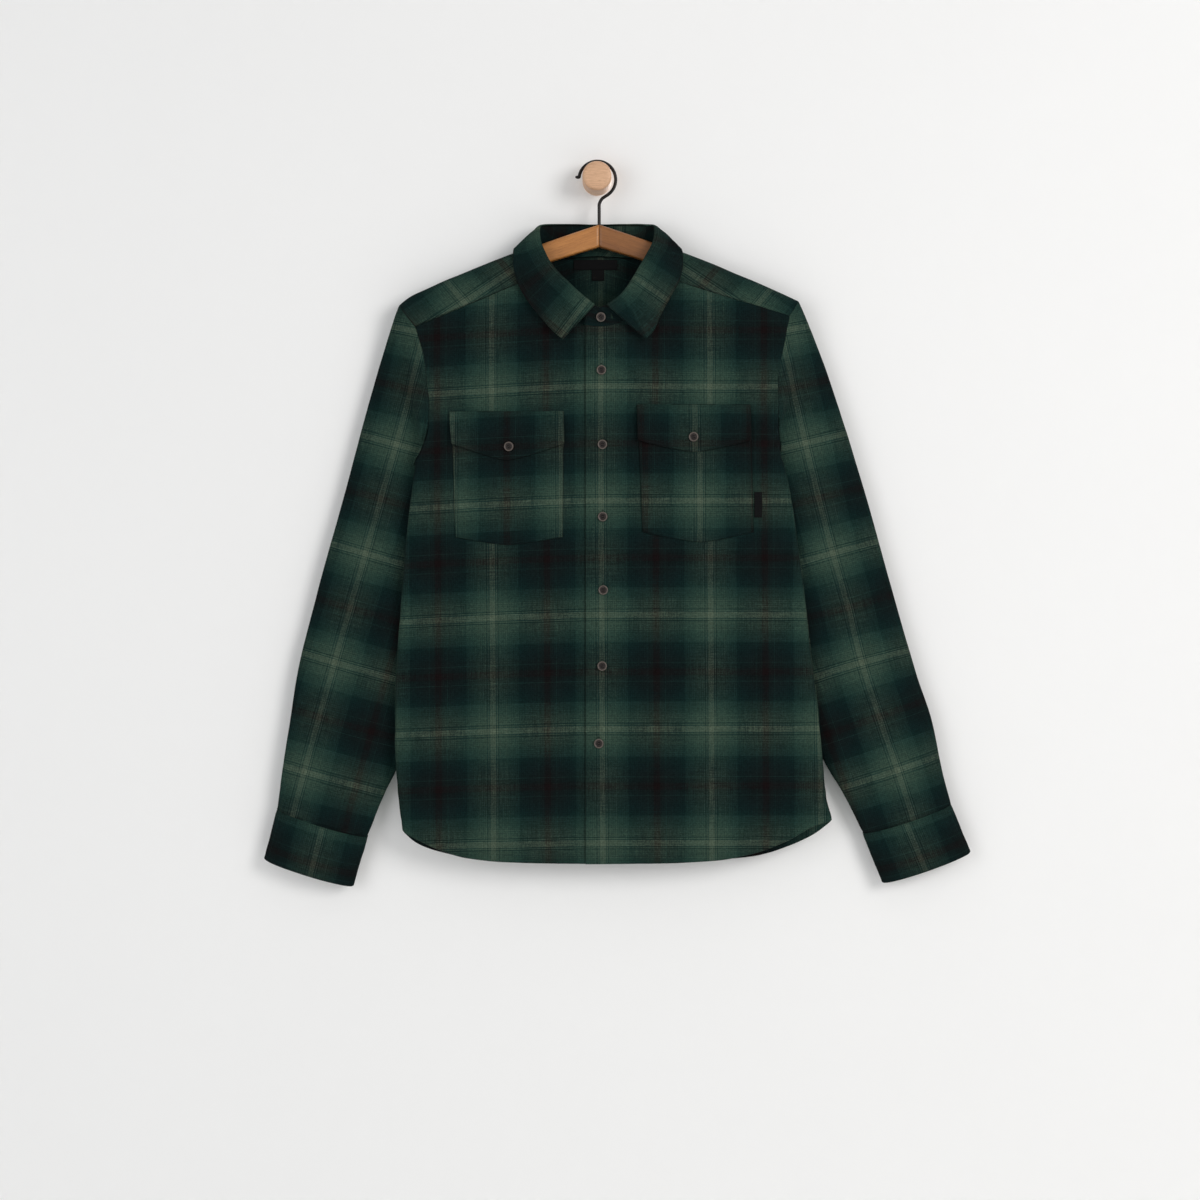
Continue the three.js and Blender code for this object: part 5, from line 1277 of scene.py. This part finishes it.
def collar_row(side, t):
    """The collar at t: its fold, its edge, the way along and the way out."""
    edge_x, edge_z, proud = (at(COLLAR, "t", column, t) for column in (f"edge_{side}", "edge_z", "proud"))
    hanging = edge_z < ridge_z(edge_x) - RIDGE_RADIUS
    panel_y = np.where(hanging, front_y(edge_x, edge_z), ARM_Y - RIDGE_RADIUS)
    edge_y = lerp(panel_y - proud, back_y(edge_x, edge_z) + proud, ease((t - 0.64) / 0.08))
    step = 0.03
    before, after = (fold_at(side, np.clip(t + way, 0, 1)) for way in (-step, step))
    ahead = unit(after - before)
    out = unit(vec(-ahead[..., 1], ahead[..., 0], 0) * -SIGN[side])
    out = unit(lerp(out, np.array([0, 1.0, 0]), ease((t - 0.9) / 0.1)[..., None]))
    return fold_at(side, t), vec(edge_x, edge_y, edge_z), ahead, out


def stand_shift(side, t):
    return SIGN[side] * STAND_APART * (1 - ease(t / 0.3))


def around_neck(make, count=130):
    """Rows from the left front end round the back to the right front end."""
    t = np.linspace(0, 1, count)
    left, right = make("left", t), make("right", t[:-1][::-1])
    return tuple(np.concatenate([a, b]) for a, b in zip(left, right))


def stand_lap(low_x, shift, from_start):
    """A plain end of the stand, its upper corner rounded off."""
    z = neck_z(low_x) + 0.6
    far = np.abs(low_x - low_x[0 if from_start else -1])
    round_off = np.sqrt(np.maximum(STAND_CORNER ** 2 - (STAND_CORNER - far) ** 2, 0))
    drop = np.where(far < STAND_CORNER, STAND_CORNER - round_off, 0)
    fold_y, fold_z = COLLAR["fold_y"][0], COLLAR["fold_z"][0]
    return vec(low_x, front_y(low_x, z) - shift, z), vec(low_x, fold_y - shift, fold_z - drop)


def collar_stand():
    def make(side, t):
        low = neck_point(side, t)
        fold, _, _, out = collar_row(side, t)
        low = low + unit(fold - low) * (0.4 + 0.9 * ease((t - 0.42) / 0.1))[..., None]
        inward = (FIRM / 2 + 0.2) * ease((t - 0.25) / 0.15) * ease((0.68 - t) / 0.08)
        low = low - out * inward[..., None]
        for row in (low, fold):
            row[..., 1] -= stand_shift(side, t)
        fold[..., 0] = np.where(t < 0.02, lerp(low[..., 0], fold[..., 0], t / 0.02), fold[..., 0])
        return low, fold

    under = stand_lap(np.linspace(STAND_UNDER, CENTRE_X + 1, 12), -STAND_APART, True)
    over = stand_lap(np.linspace(CENTRE_X - 1, STAND_OVER, 14), STAND_APART, False)
    low, high = (np.concatenate(rows) for rows in zip(under, around_neck(make), over))
    points = lerp(low[:, None], high[:, None], spaced(16, 2)[None, :, None])
    sheet = Sheet(points, FIRM, (points - NECK_MIDDLE) * (1, 1, 0))
    bottom, along = sheet.from_edges(COLUMN_0, ROW_0)
    sheet.moved(0.2 * ripple(along, bottom, 101, 16) * ease(bottom / 6))
    end = sheet.from_edge(*ROW_N)
    dress("collar_stand", sheet, vec(bottom + 38, along + 10),
          groove(bottom, FIRM_LINE, 0.8) + groove(end, FIRM_LINE, 0.8), "flannel_trim",
          [(COLUMN_0, FIRM_LINE, 0.05), (ROW_N, FIRM_LINE, 0.05)], (0.46, 0.055),
          ["yoke", "front_left", "front_right"], "stand")


COLLAR_ROLL, LEAF_THICK, LEAF_LINE, STAND_CORNER = 3.6, CLOTH + 0.6, 5.5, 11.0
NECK_MIDDLE = np.array([CENTRE_X, -40, -110])


def collar_leaf():
    def make(side, t0):
        t = lerp(0.015, 1, t0)
        fold, edge, ahead, out = collar_row(side, t)
        up = fold - neck_point(side, t)
        up = unit(up - ahead * (up * ahead).sum(-1, keepdims=True))
        fold[..., 1] -= 1.4 * np.maximum(stand_shift(side, t), 0)
        return fold, edge, out, up

    fold, edge, out, up = around_neck(make, 150)
    start = fold + up * (SEAM + CLOTH / 2 + 0.55)
    # Over the fold in an arc, then down to the edge with a slight belly
    columns = []
    for angle in np.linspace(0, 0.78 * math.pi, 14):
        over = 0.85 * (1 - np.cos(angle))
        rise = 0.22 * np.sin(angle) - 1.9 * (angle / math.pi) ** 2
        columns.append(start + COLLAR_ROLL * (out * over + up * rise))
    last = columns[-1]
    for share in np.sort(np.concatenate([np.linspace(0, 1, 30)[1:], [0.985, 0.993]])):
        belly = 1.3 * math.sin(math.pi * share) * (1 - share)
        columns.append(lerp(last, edge, share) + out * belly)
    points = np.stack(columns, 1)
    outward = (points - NECK_MIDDLE) * (1, 1, 0)
    outward[:, :10] = 0
    sheet = Sheet(points, LEAF_THICK, outward)
    start, down = sheet.from_edges(ROW_0, COLUMN_0)
    rim = np.minimum.reduce(sheet.from_edges(COLUMN_N, ROW_0, ROW_N))
    height = 0.5 * ripple(start, down, 111, 34) * ease(down / 10) + 0.2 * ripple(start, down, 112, 12)
    sheet.moved(height + pucker(start, rim, 7, 113, 8, 0.35))
    seams = [(COLUMN_N, LEAF_LINE, 0.05), (ROW_0, LEAF_LINE, 0.05, 0.3), (ROW_N, LEAF_LINE, 0.05, 0.3)]
    dress("collar_leaf", sheet, collar_uv(points, down), groove(rim, LEAF_LINE, 0.9, 0.35),
          "flannel_trim", seams, (0.46, 0.075), ["collar_stand"], "leaf")


# Where the collar's cross stripes lie: from its fold, and from the fold's left and right ends
COLLAR_U, COLLAR_STRIPES = 12.0, (10.0, 46.0)


def collar_uv(points, down):
    """The leaf as cut: along its fold, and square to that."""
    fold = points[:, 0]
    length = run_length(fold)
    ahead = unit(np.gradient(fold, axis=0))
    beyond = ((points - fold[:, None]) * ahead[:, None]).sum(-1)
    first, last = COLLAR_STRIPES[0], length[-1] - COLLAR_STRIPES[1]
    repeat = 2 * HALF_WEFT
    stretch = repeat * round((last - first) / repeat) / (last - first)
    across = np.sqrt(np.maximum(down ** 2 - beyond ** 2, 0))
    return vec(across + COLLAR_U, (length[:, None] + beyond - first) * stretch)


# Pockets and flaps

# Outlines in mm: left and right at the top and low down, and the point of the foot
OUTLINE = "top side point point_x top_left top_right low_left low_right stripe"
POCKETS = {
    "left": table(OUTLINE, (-300, -435.6, -445.2, -108, -174, -40.6, -169.8, -41.6, -42)),
    "right": table(OUTLINE, (-292, -429.5, -441.7, 125, 49.6, 184.6, 55.4, 187.6, 124)),
}
FLAPS = {
    "left": table(OUTLINE, (-285.4, -323.5, -343.5, -107, -177.2, -40.4, -174.4, -39.4, -42)),
    "right": table(OUTLINE, (-277.2, -319.5, -333.6, 117, 48.2, 183.9, 49, 184.6, 118)),
}
FLAP_BITE = 11.0
POCKET_LIFT = CLOTH + LAY


def on_front(x, z, lift):
    step = 2.0
    point = body_point(x, z, "front")
    across = body_point(x + step, z, "front") - body_point(x - step, z, "front")
    up = body_point(x, z + step, "front") - body_point(x, z - step, "front")
    return point + unit(np.cross(across, up)) * np.asarray(lift)[..., None]


def lay_on(outline, rows, lift_at):
    """A piece laid on the front: its places, sheet and plaid, and how far it is from rim and top."""
    a, b = spaced(66, 1.5)[None, :], spaced(rows, 1.5)[:, None]
    low_left, low_right = outline["low_left"], outline["low_right"]
    point = (outline["point_x"] - low_left) / (low_right - low_left)
    from_point = np.where(a < point, 1 - a / point, (a - point) / (1 - point))
    z = lerp(outline["top"], lerp(outline["point"], outline["side"], from_point ** 1.25), b)
    x = lerp(lerp(outline["top_left"], outline["top_right"], a), lerp(low_left, low_right, a), b)
    lift = lift_at(outline["top"] - z) + creases(FRONT_CREASES, x, z)
    uv = body_uv(x, z)
    uv[..., 0] = x - outline["stripe"]
    sheet = Sheet(on_front(x, z, lift), CLOTH, (0, -1, 0))
    rim = np.minimum.reduce(sheet.from_edges(COLUMN_0, COLUMN_N, ROW_N))
    return x, z, sheet, uv, rim, sheet.from_edge(*ROW_0)


def pocket(side):
    x, z, sheet, uv, rim, top = lay_on(POCKETS[side], 70, lambda below: POCKET_LIFT)
    seed = 121 if side == "left" else 131
    height = 1.6 * ease(rim / 35) * ease(top / 30) + 0.4 * ripple(x, z, seed, 30) * ease(rim / 12)
    height += pucker(x + z, rim, 6, seed + 1, 8, 0.3) - 0.35 * np.exp(-(rim / 1.6) ** 2)
    sheet.moved(height)
    seams = [(edge, POCKET_LINE, 0.05) for edge in (COLUMN_0, COLUMN_N, ROW_N)]
    dress(f"pocket_{side}", sheet, uv, groove(rim, POCKET_LINE, 0.8, 0.35), "flannel_trim", seams,
          (0.142, 0.155), [f"front_{side}"])


def flap(side):
    def lift(below):
        return POCKET_LIFT + (CLOTH + LAY) * ease(below / FLAP_BITE)

    x, z, sheet, uv, rim, top = lay_on(FLAPS[side], 36, lift)
    seed = 141 if side == "left" else 151
    button_x, button_z = FLAP_BUTTONS[side]
    near = np.hypot(x - button_x, z - button_z)
    height = 1.3 * ease(top / 14) + 0.7 * np.exp(-(rim / 9) ** 2) * ease(top / 20)
    height += 0.35 * ripple(x, z, seed, 18) * ease(top / 8) + pucker(x + z, rim, 6, seed + 1, 7, 0.4)
    height -= 1.2 * np.exp(-(near / 12) ** 2) + 0.3 * np.exp(-(top / 1.4) ** 2)
    sheet.moved(height)
    relief = groove(rim, EDGE_LINE, 0.9, 0.35) + groove(top, POCKET_LINE, 0.8)
    seams = [(edge, EDGE_LINE, 0.05) for edge in (COLUMN_0, COLUMN_N, ROW_N)]
    dress(f"pocket_flap_{side}", sheet, uv, relief, "flannel_trim",
          [*seams, (ROW_0, POCKET_LINE, 0.05)], (0.142, 0.065), [f"pocket_{side}"], f"flap_{side}")


# Buttons, buttonholes and labels

FRONT_BUTTONS = (
    (5.2, -235.8), (6.4, -324.8), (6.8, -411.5), (7.4, -499.6), (6.0, -590.9), (2.1, -683.9),
)
FLAP_BUTTONS = {"left": (-105.7, -327.3), "right": (115.6, -315.7)}
COLLAR_BUTTON = (4.6, -173.0, 0.27)
HOLE_AT, HOLE_RADIUS = 1.25, 0.62
# Radius and height of the button's rings, from the middle of its back over the rim
BUTTON_PROFILE = (
    (5.0, 0.0), (5.55, 0.35), (5.75, 0.95), (5.75, 1.9), (5.55, 2.5), (5.1, 2.78),
    (4.6, 2.72), (4.1, 2.35), (3.75, 2.0), (3.4, 1.9),
)


def button_mesh():
    """A four-hole button facing +Z: a raised rim, a dished middle and holes through it."""
    bm = bmesh.new()

    def ring(radius, height, sides, x=0.0, y=0.0):
        return [bm.verts.new((x + radius * math.cos(turn), y + radius * math.sin(turn), height))
                for turn in turns(sides)]

    def join(low, high):
        for corners in zip(low, low[1:] + low[:1], high[1:] + high[:1], high):
            bm.faces.new(corners)

    reach = HOLE_AT * math.sqrt(2)
    rings = [ring(radius, height, 48) for radius, height in BUTTON_PROFILE]
    for lower, upper in zip(rings, rings[1:]):
        join(lower, upper)
    holes = []
    for outer, (_, height) in ((rings[0], BUTTON_PROFILE[0]), (rings[-1], BUTTON_PROFILE[-1])):
        loops = [ring(HOLE_RADIUS, height, 12, reach * math.cos(turn), reach * math.sin(turn))
                 for turn in math.pi / 4 + turns(4)]
        edges = []
        for loop in [outer, *loops]:
            for pair in zip(loop, loop[1:] + loop[:1]):
                edges.append(bm.edges.get(pair) or bm.edges.new(pair))
        bmesh.ops.triangle_fill(bm, use_beauty=True, edges=edges)
        holes.append(loops)
    # The fill also closes the holes, so those faces come out again
    for loop in holes[0] + holes[1]:
        doomed = [face for face in bm.faces if set(face.verts) <= set(loop)]
        bmesh.ops.delete(bm, geom=doomed, context="FACES_ONLY")
    for low, high in zip(*holes):
        join(high, low)
    bmesh.ops.recalc_face_normals(bm, faces=bm.faces)
    bmesh.ops.scale(bm, vec=(MM, MM, MM), verts=bm.verts)
    mesh = bpy.data.meshes.new("button")
    bm.to_mesh(mesh)
    bm.free()
    layer = mesh.uv_layers.new(name="cloth")
    for loop in mesh.loops:
        layer.data[loop.index].uv = mesh.vertices[loop.vertex_index].co[:2]
    for polygon in mesh.polygons:
        polygon.use_smooth = abs(polygon.normal.z) < 0.999
    return mesh


def button_threads():
    """Two bars of thread across the holes, and the shank below."""
    span = np.linspace(-HOLE_AT, HOLE_AT, 9)
    arch = 1.9 + 0.45 * (1 - (span / HOLE_AT) ** 2)
    arch[0] = arch[-1] = 1.2
    strands = [side * HOLE_AT + strand for side in (-1, 1) for strand in (-0.176, 0.04, 0.24)]
    bars = [tube(vec(span, y, arch), 0.17, 6) for y in strands]
    return merged([*bars, tube(vec(0, 0, np.linspace(-0.6, 0.2, 3)), 1.2, 10)])


BUTTON_MESH = button_mesh()
BUTTON_MESH.materials.append(BUTTON_PLASTIC_PAINTED_LIGHT)


def place_on(obj, point, outward, spin=0.0):
    """Bakes a piece made facing +Z onto a place with its face turned outward."""
    z = Vector(outward).normalized()
    x = Vector((1, 0, 0))
    x = (x - z * x.dot(z)).normalized()
    y = z.cross(x)
    turn = Matrix((x, y, z)).transposed().to_4x4() @ Matrix.Rotation(spin, 4, "Z")
    obj.data.transform(Matrix.Translation(Vector(point) * MM) @ turn)


def button(node, point, outward, spin=0.0):
    obj = bpy.data.objects.new(node, BUTTON_MESH.copy())
    bpy.context.scene.collection.objects.link(obj)
    thread = new_object(f"{node}_thread", *button_threads())
    for piece in (obj, thread):
        place_on(piece, point, outward, spin)
    mount(obj, None, "button_plastic", node)
    mount(thread, BUTTON_THREAD, "button_plastic")


def buttonhole(name, point, outward, spin):
    """A worked slit: a close row of thread around a narrow dark cut."""
    half, width = 6.6, 1.0
    loops = []
    for turn in turns(64):
        x, y = math.cos(turn), math.sin(turn)
        place = np.array([np.sign(x) * (half - width) + x * width, y * width, 0.0])
        inner, outer = place * (1, 0.35, 1), place * (1.02, 1.35, 1)
        loops.append(tube(np.array([inner, lerp(inner, outer, 0.5) + (0, 0, 0.4), outer]), 0.2, 5))
    obj = new_object(name, *merged(loops))
    place_on(obj, point, outward, spin)
    mount(obj, THREAD, "flannel_trim")


def sewn_on_front(name, x, z, lift, hole, shift=0.0, spin=0.0):
    """A button and its buttonhole, which lies off it by hole = x, z and lift."""
    outward = on_front(x, z, 1.0) - on_front(x, z, 0.0)
    forward = (0, shift, 0)
    button(f"button_{name}", on_front(x, z, lift) - forward, outward, spin)
    hole_x, hole_z, hole_lift = hole
    place = on_front(x + hole_x, z + hole_z, lift + hole_lift)
    buttonhole(f"buttonhole_{name}", place - forward, outward, math.pi / 2)


def all_buttons():
    back = CLOTH / 2 + SEAM
    for k, (x, z) in enumerate(FRONT_BUTTONS, 1):
        sewn_on_front(f"front_{k}", x, z, back + 0.15, (0, 1.5, -0.33), LAP_SHIFT, 0.1 * math.sin(5 * k))
    for side in SIDES:
        x, z = FLAP_BUTTONS[side]
        sewn_on_front(f"flap_{side}", x, z, 2 * POCKET_LIFT + back, (-0.5, 4.6, -0.25), spin=0.4)
    x, z, tilt = COLLAR_BUTTON
    fold_y, fold_z = COLLAR["fold_y"][0], COLLAR["fold_z"][0]
    y = lerp(front_y(x, neck_z(x)), fold_y, (z - NECK_FRONT_Z) / (fold_z - NECK_FRONT_Z))
    y = y - STAND_APART - FIRM / 2
    outward = (0, -math.cos(tilt), -math.sin(tilt))
    button("button_collar", (x, y - 0.5, z), outward, 0.7)
    buttonhole("buttonhole_collar", (x - 1.5, y - 0.1, z), outward, 0.0)
    for side in SIDES:
        point = cuff_point(side, np.array(0.5), np.array(1.03))
        button(f"button_cuff_{side}", point + (0, FIRM / 2 + 0.5, 0), (0, 1, 0))


# Left, right, top and foot in mm, thickness, flat size in m and what it is sewn to
LABELS = {
    "neck": (-28, 24.3, -98.6, -110.4, 0.8, (0.0525, 0.012), "yoke"),
    "size": (-6, 8.5, -110.8, -123.4, 0.8, (0.0146, 0.0127), "back"),
    "side": (189.6, 198, -382, -412, 1.0, (0.0105, 0.0302), "front_right"),
}


def label(name):
    x0, x1, z0, z1, thick, flat, base = LABELS[name]
    x, z = np.meshgrid(lerp(x0, x1, spaced(30, 2)), lerp(z0, z1, spaced(14, 2)))
    depth = front_y(x, z) if name == "side" else back_y(x, z)
    sheet = Sheet(vec(x, depth - CLOTH / 2 - SEAM - thick / 2 - 0.3, z), thick * 0.7, (0, -1, 0))
    edge = np.minimum(*sheet.from_edges(ROW_0, ROW_N))
    sheet.moved(0.12 * ripple(x, z, 161, 6) - 0.2 * np.exp(-(edge / 1.2) ** 2))
    dress(f"label_{name}", sheet, vec(x - x0, z - z1), 0, "label_black",
          [(COLUMN_0, 1.6, 0.05), (COLUMN_N, 1.6, 0.05)], flat, [base], cloth=LABEL)


# Hanger, hook and peg

def hanger_arm(side):
    """One arm: a rounded board, its end rounded off, mitred against the other."""
    end = 16 * np.sin(np.linspace(0.08, 0.5, 14) * math.pi)
    out = np.concatenate([np.linspace(0.15, ARM_ROUND_FROM, 60), ARM_ROUND_FROM + end])[:, None]
    shrink = np.maximum((out - ARM_ROUND_FROM) / 16.2, 0)
    round_off = np.sqrt(np.maximum(1 - shrink ** 2, 0.02))
    deep = lerp(ARM_DEEP, ARM_DEEP_END, out / ARM_LENGTH)
    centre = ARM_TOP - ARM_SLOPE * out - ARM_BEND * out ** 2 - deep / 2
    across, up = np.cos(turns(48)), np.sin(turns(48))
    radius = np.where(up < 0, ARM_CORNER_LOW, ARM_CORNER_TOP)
    y = np.copysign(1, across) * (ARM_THICK / 2 - radius) + radius * across
    z = np.copysign(1, up) * (deep / 2 - radius) + radius * up
    verts, faces = skin(vec(ARM_X + SIGN[side] * out, ARM_Y + y * lerp(0.35, 1, round_off),
                            centre + z * lerp(0.3, 1, round_off)))
    if side == "right":
        faces = [face[::-1] for face in faces]
    obj = new_object(f"hanger_arm_{side}", verts, faces)
    for polygon in obj.data.polygons:
        polygon.use_smooth = len(polygon.vertices) == 4
    mount(obj, WOOD[side], "hanger_wood", f"hanger_arm_{side}")


HOOK_WIRE, HOOK_RADIUS, HOOK_X, HOOK_Z = 2.0, 22.3, 0.3, -2.3


def smooth_path(points, count):
    """A curve through points, evenly stepped."""
    far = run_length(points)
    s = np.linspace(0, far[-1], count)
    return np.stack([through(far, y, np.gradient(y, far), s) for y in points.T], -1)


def hook():
    bend = np.radians(np.arange(172, -53, -8))
    x = [HOOK_X - HOOK_RADIUS - 4.4, *(HOOK_X + HOOK_RADIUS * np.cos(bend)), 5.4, 2.9, 2.6, 2.6, 2.6]
    z = [HOOK_Z + 3.4, *(HOOK_Z + HOOK_RADIUS * np.sin(bend)), -26.4, -31.5, -38, -47, -60]
    path = smooth_path(vec(x, ARM_Y, z), 150)
    radius = np.full(len(path), HOOK_WIRE)
    radius[:4] *= np.array([0.35, 0.75, 0.93, 0.99])
    obj = new_object("hanger_hook", *tube(path, radius, 16))
    mount(obj, WIRE, "hook_wire", "hanger_hook")


PEG_RADIUS, PEG_LENGTH, PEG_DOME = 17.7, 46.0, 0.8


def peg():
    """A turned peg with a softly rounded face, its back on the wall."""
    bend = np.linspace(0, math.pi / 2, 11)[1:]
    face = np.linspace(12.4, 0.8, 10)
    edge = PEG_LENGTH - PEG_DOME
    radius = np.concatenate([[PEG_RADIUS - 0.6], np.full(13, PEG_RADIUS),
                             PEG_RADIUS - 4.5 * (1 - np.cos(bend)), face])
    far = np.concatenate([[0, 0.6], np.linspace(3, PEG_LENGTH - 5, 12),
                          edge - 4.2 * (1 - np.sin(bend)), PEG_LENGTH - PEG_DOME * (face / 13.2) ** 2])
    radius, far, angle = radius[:, None], far[:, None], turns(72)
    verts, faces = skin(vec(radius * np.cos(angle), -far, radius * np.sin(angle)))
    mount(new_object("wall_peg", verts, faces), PEG_WOOD, "peg_wood", "wall_peg")


# Everything in place

for side in SIDES:
    front_panel(side)
back_panel()
yoke_panel()
for side in SIDES:
    sleeve(side)
    cuff(side)
    sleeve_placket(side)
    pocket(side)
    flap(side)
    hanger_arm(side)
collar_stand()
collar_leaf()
all_buttons()
for name in LABELS:
    label(name)
hook()
peg()


# Stage, lights and camera

def stage_plane(name, corners, color, seen_through=False):
    obj = new_object(name, np.array(corners) / MM, [(0, 1, 2, 3)])
    material, tree, shader = node_tree(name)
    field = noise(tree, object_coords(tree), 3, 3, 0.5)
    plug(shader, {"Base Color": mix_colors(tree, field, *around_color(color, 0.985, 1)),
                  "Roughness": 0.95, "Specular IOR Level": 0.1})
    if seen_through:
        # The wall lets the light behind it through, so that the back can be seen too
        behind = add_node(tree, "NewGeometry", {}).outputs["Backfacing"]
        shadow = add_node(tree, "LightPath", {}).outputs["Is Shadow Ray"]
        clear = add_node(tree, "BsdfTransparent", {}).outputs[0]
        share = math_node(tree, "MAXIMUM", behind, shadow)
        mixer = add_node(tree, "MixShader", {0: share, 1: shader.outputs[0], 2: clear})
        plug(tree.nodes["Material Output"], {"Surface": mixer.outputs[0]})
    obj.data.materials.append(material)


WALL_Y, FLOOR_Z = 0.0006, -1.5
WALL = [(-4, WALL_Y, FLOOR_Z), (4, WALL_Y, FLOOR_Z), (4, WALL_Y, 2.6), (-4, WALL_Y, 2.6)]
FLOOR = [(-4, -5, FLOOR_Z), (4, -5, FLOOR_Z), (4, 4, FLOOR_Z), (-4, 4, FLOOR_Z)]
stage_plane("wall", WALL, (0.885, 0.885, 0.885), seen_through=True)
stage_plane("floor", FLOOR, (0.80, 0.80, 0.79))


def area_light(name, place, target, size, power, color=(1, 1, 1)):
    data = bpy.data.lights.new(name, "AREA")
    data.shape = "DISK"
    data.size = size
    data.energy = power
    data.color = color
    obj = bpy.data.objects.new(name, data)
    bpy.context.scene.collection.objects.link(obj)
    obj.location = place
    obj.rotation_euler = (Vector(target) - Vector(place)).to_track_quat("-Z", "Y").to_euler()


area_light("key", (2.3, -2.9, 0.5), (0, 0, -0.45), 1.8, 58, (1.0, 0.985, 0.965))
area_light("fill", (-2.6, -3.2, -0.1), (0, 0, -0.45), 2.6, 33, (0.97, 0.985, 1.0))
area_light("back_fill", (1.2, 3.2, 0.6), (0, 0, -0.45), 2.0, 85)

world = bpy.data.worlds.new("studio")
world.use_nodes = True
world.node_tree.nodes["Background"].inputs[0].default_value = (1, 1, 1, 1)
world.node_tree.nodes["Background"].inputs[1].default_value = 0.46
bpy.context.scene.world = world
bpy.context.scene.view_settings.view_transform = "Standard"

camera_data = bpy.data.cameras.new("camera")
camera_data.lens = 75
camera_data.sensor_width = 36
camera = bpy.data.objects.new("camera", camera_data)
camera.location = (0.0036, -3.055, -0.5116)
camera.rotation_euler = (math.pi / 2, 0, 0)
bpy.context.scene.collection.objects.link(camera)
bpy.context.scene.camera = camera
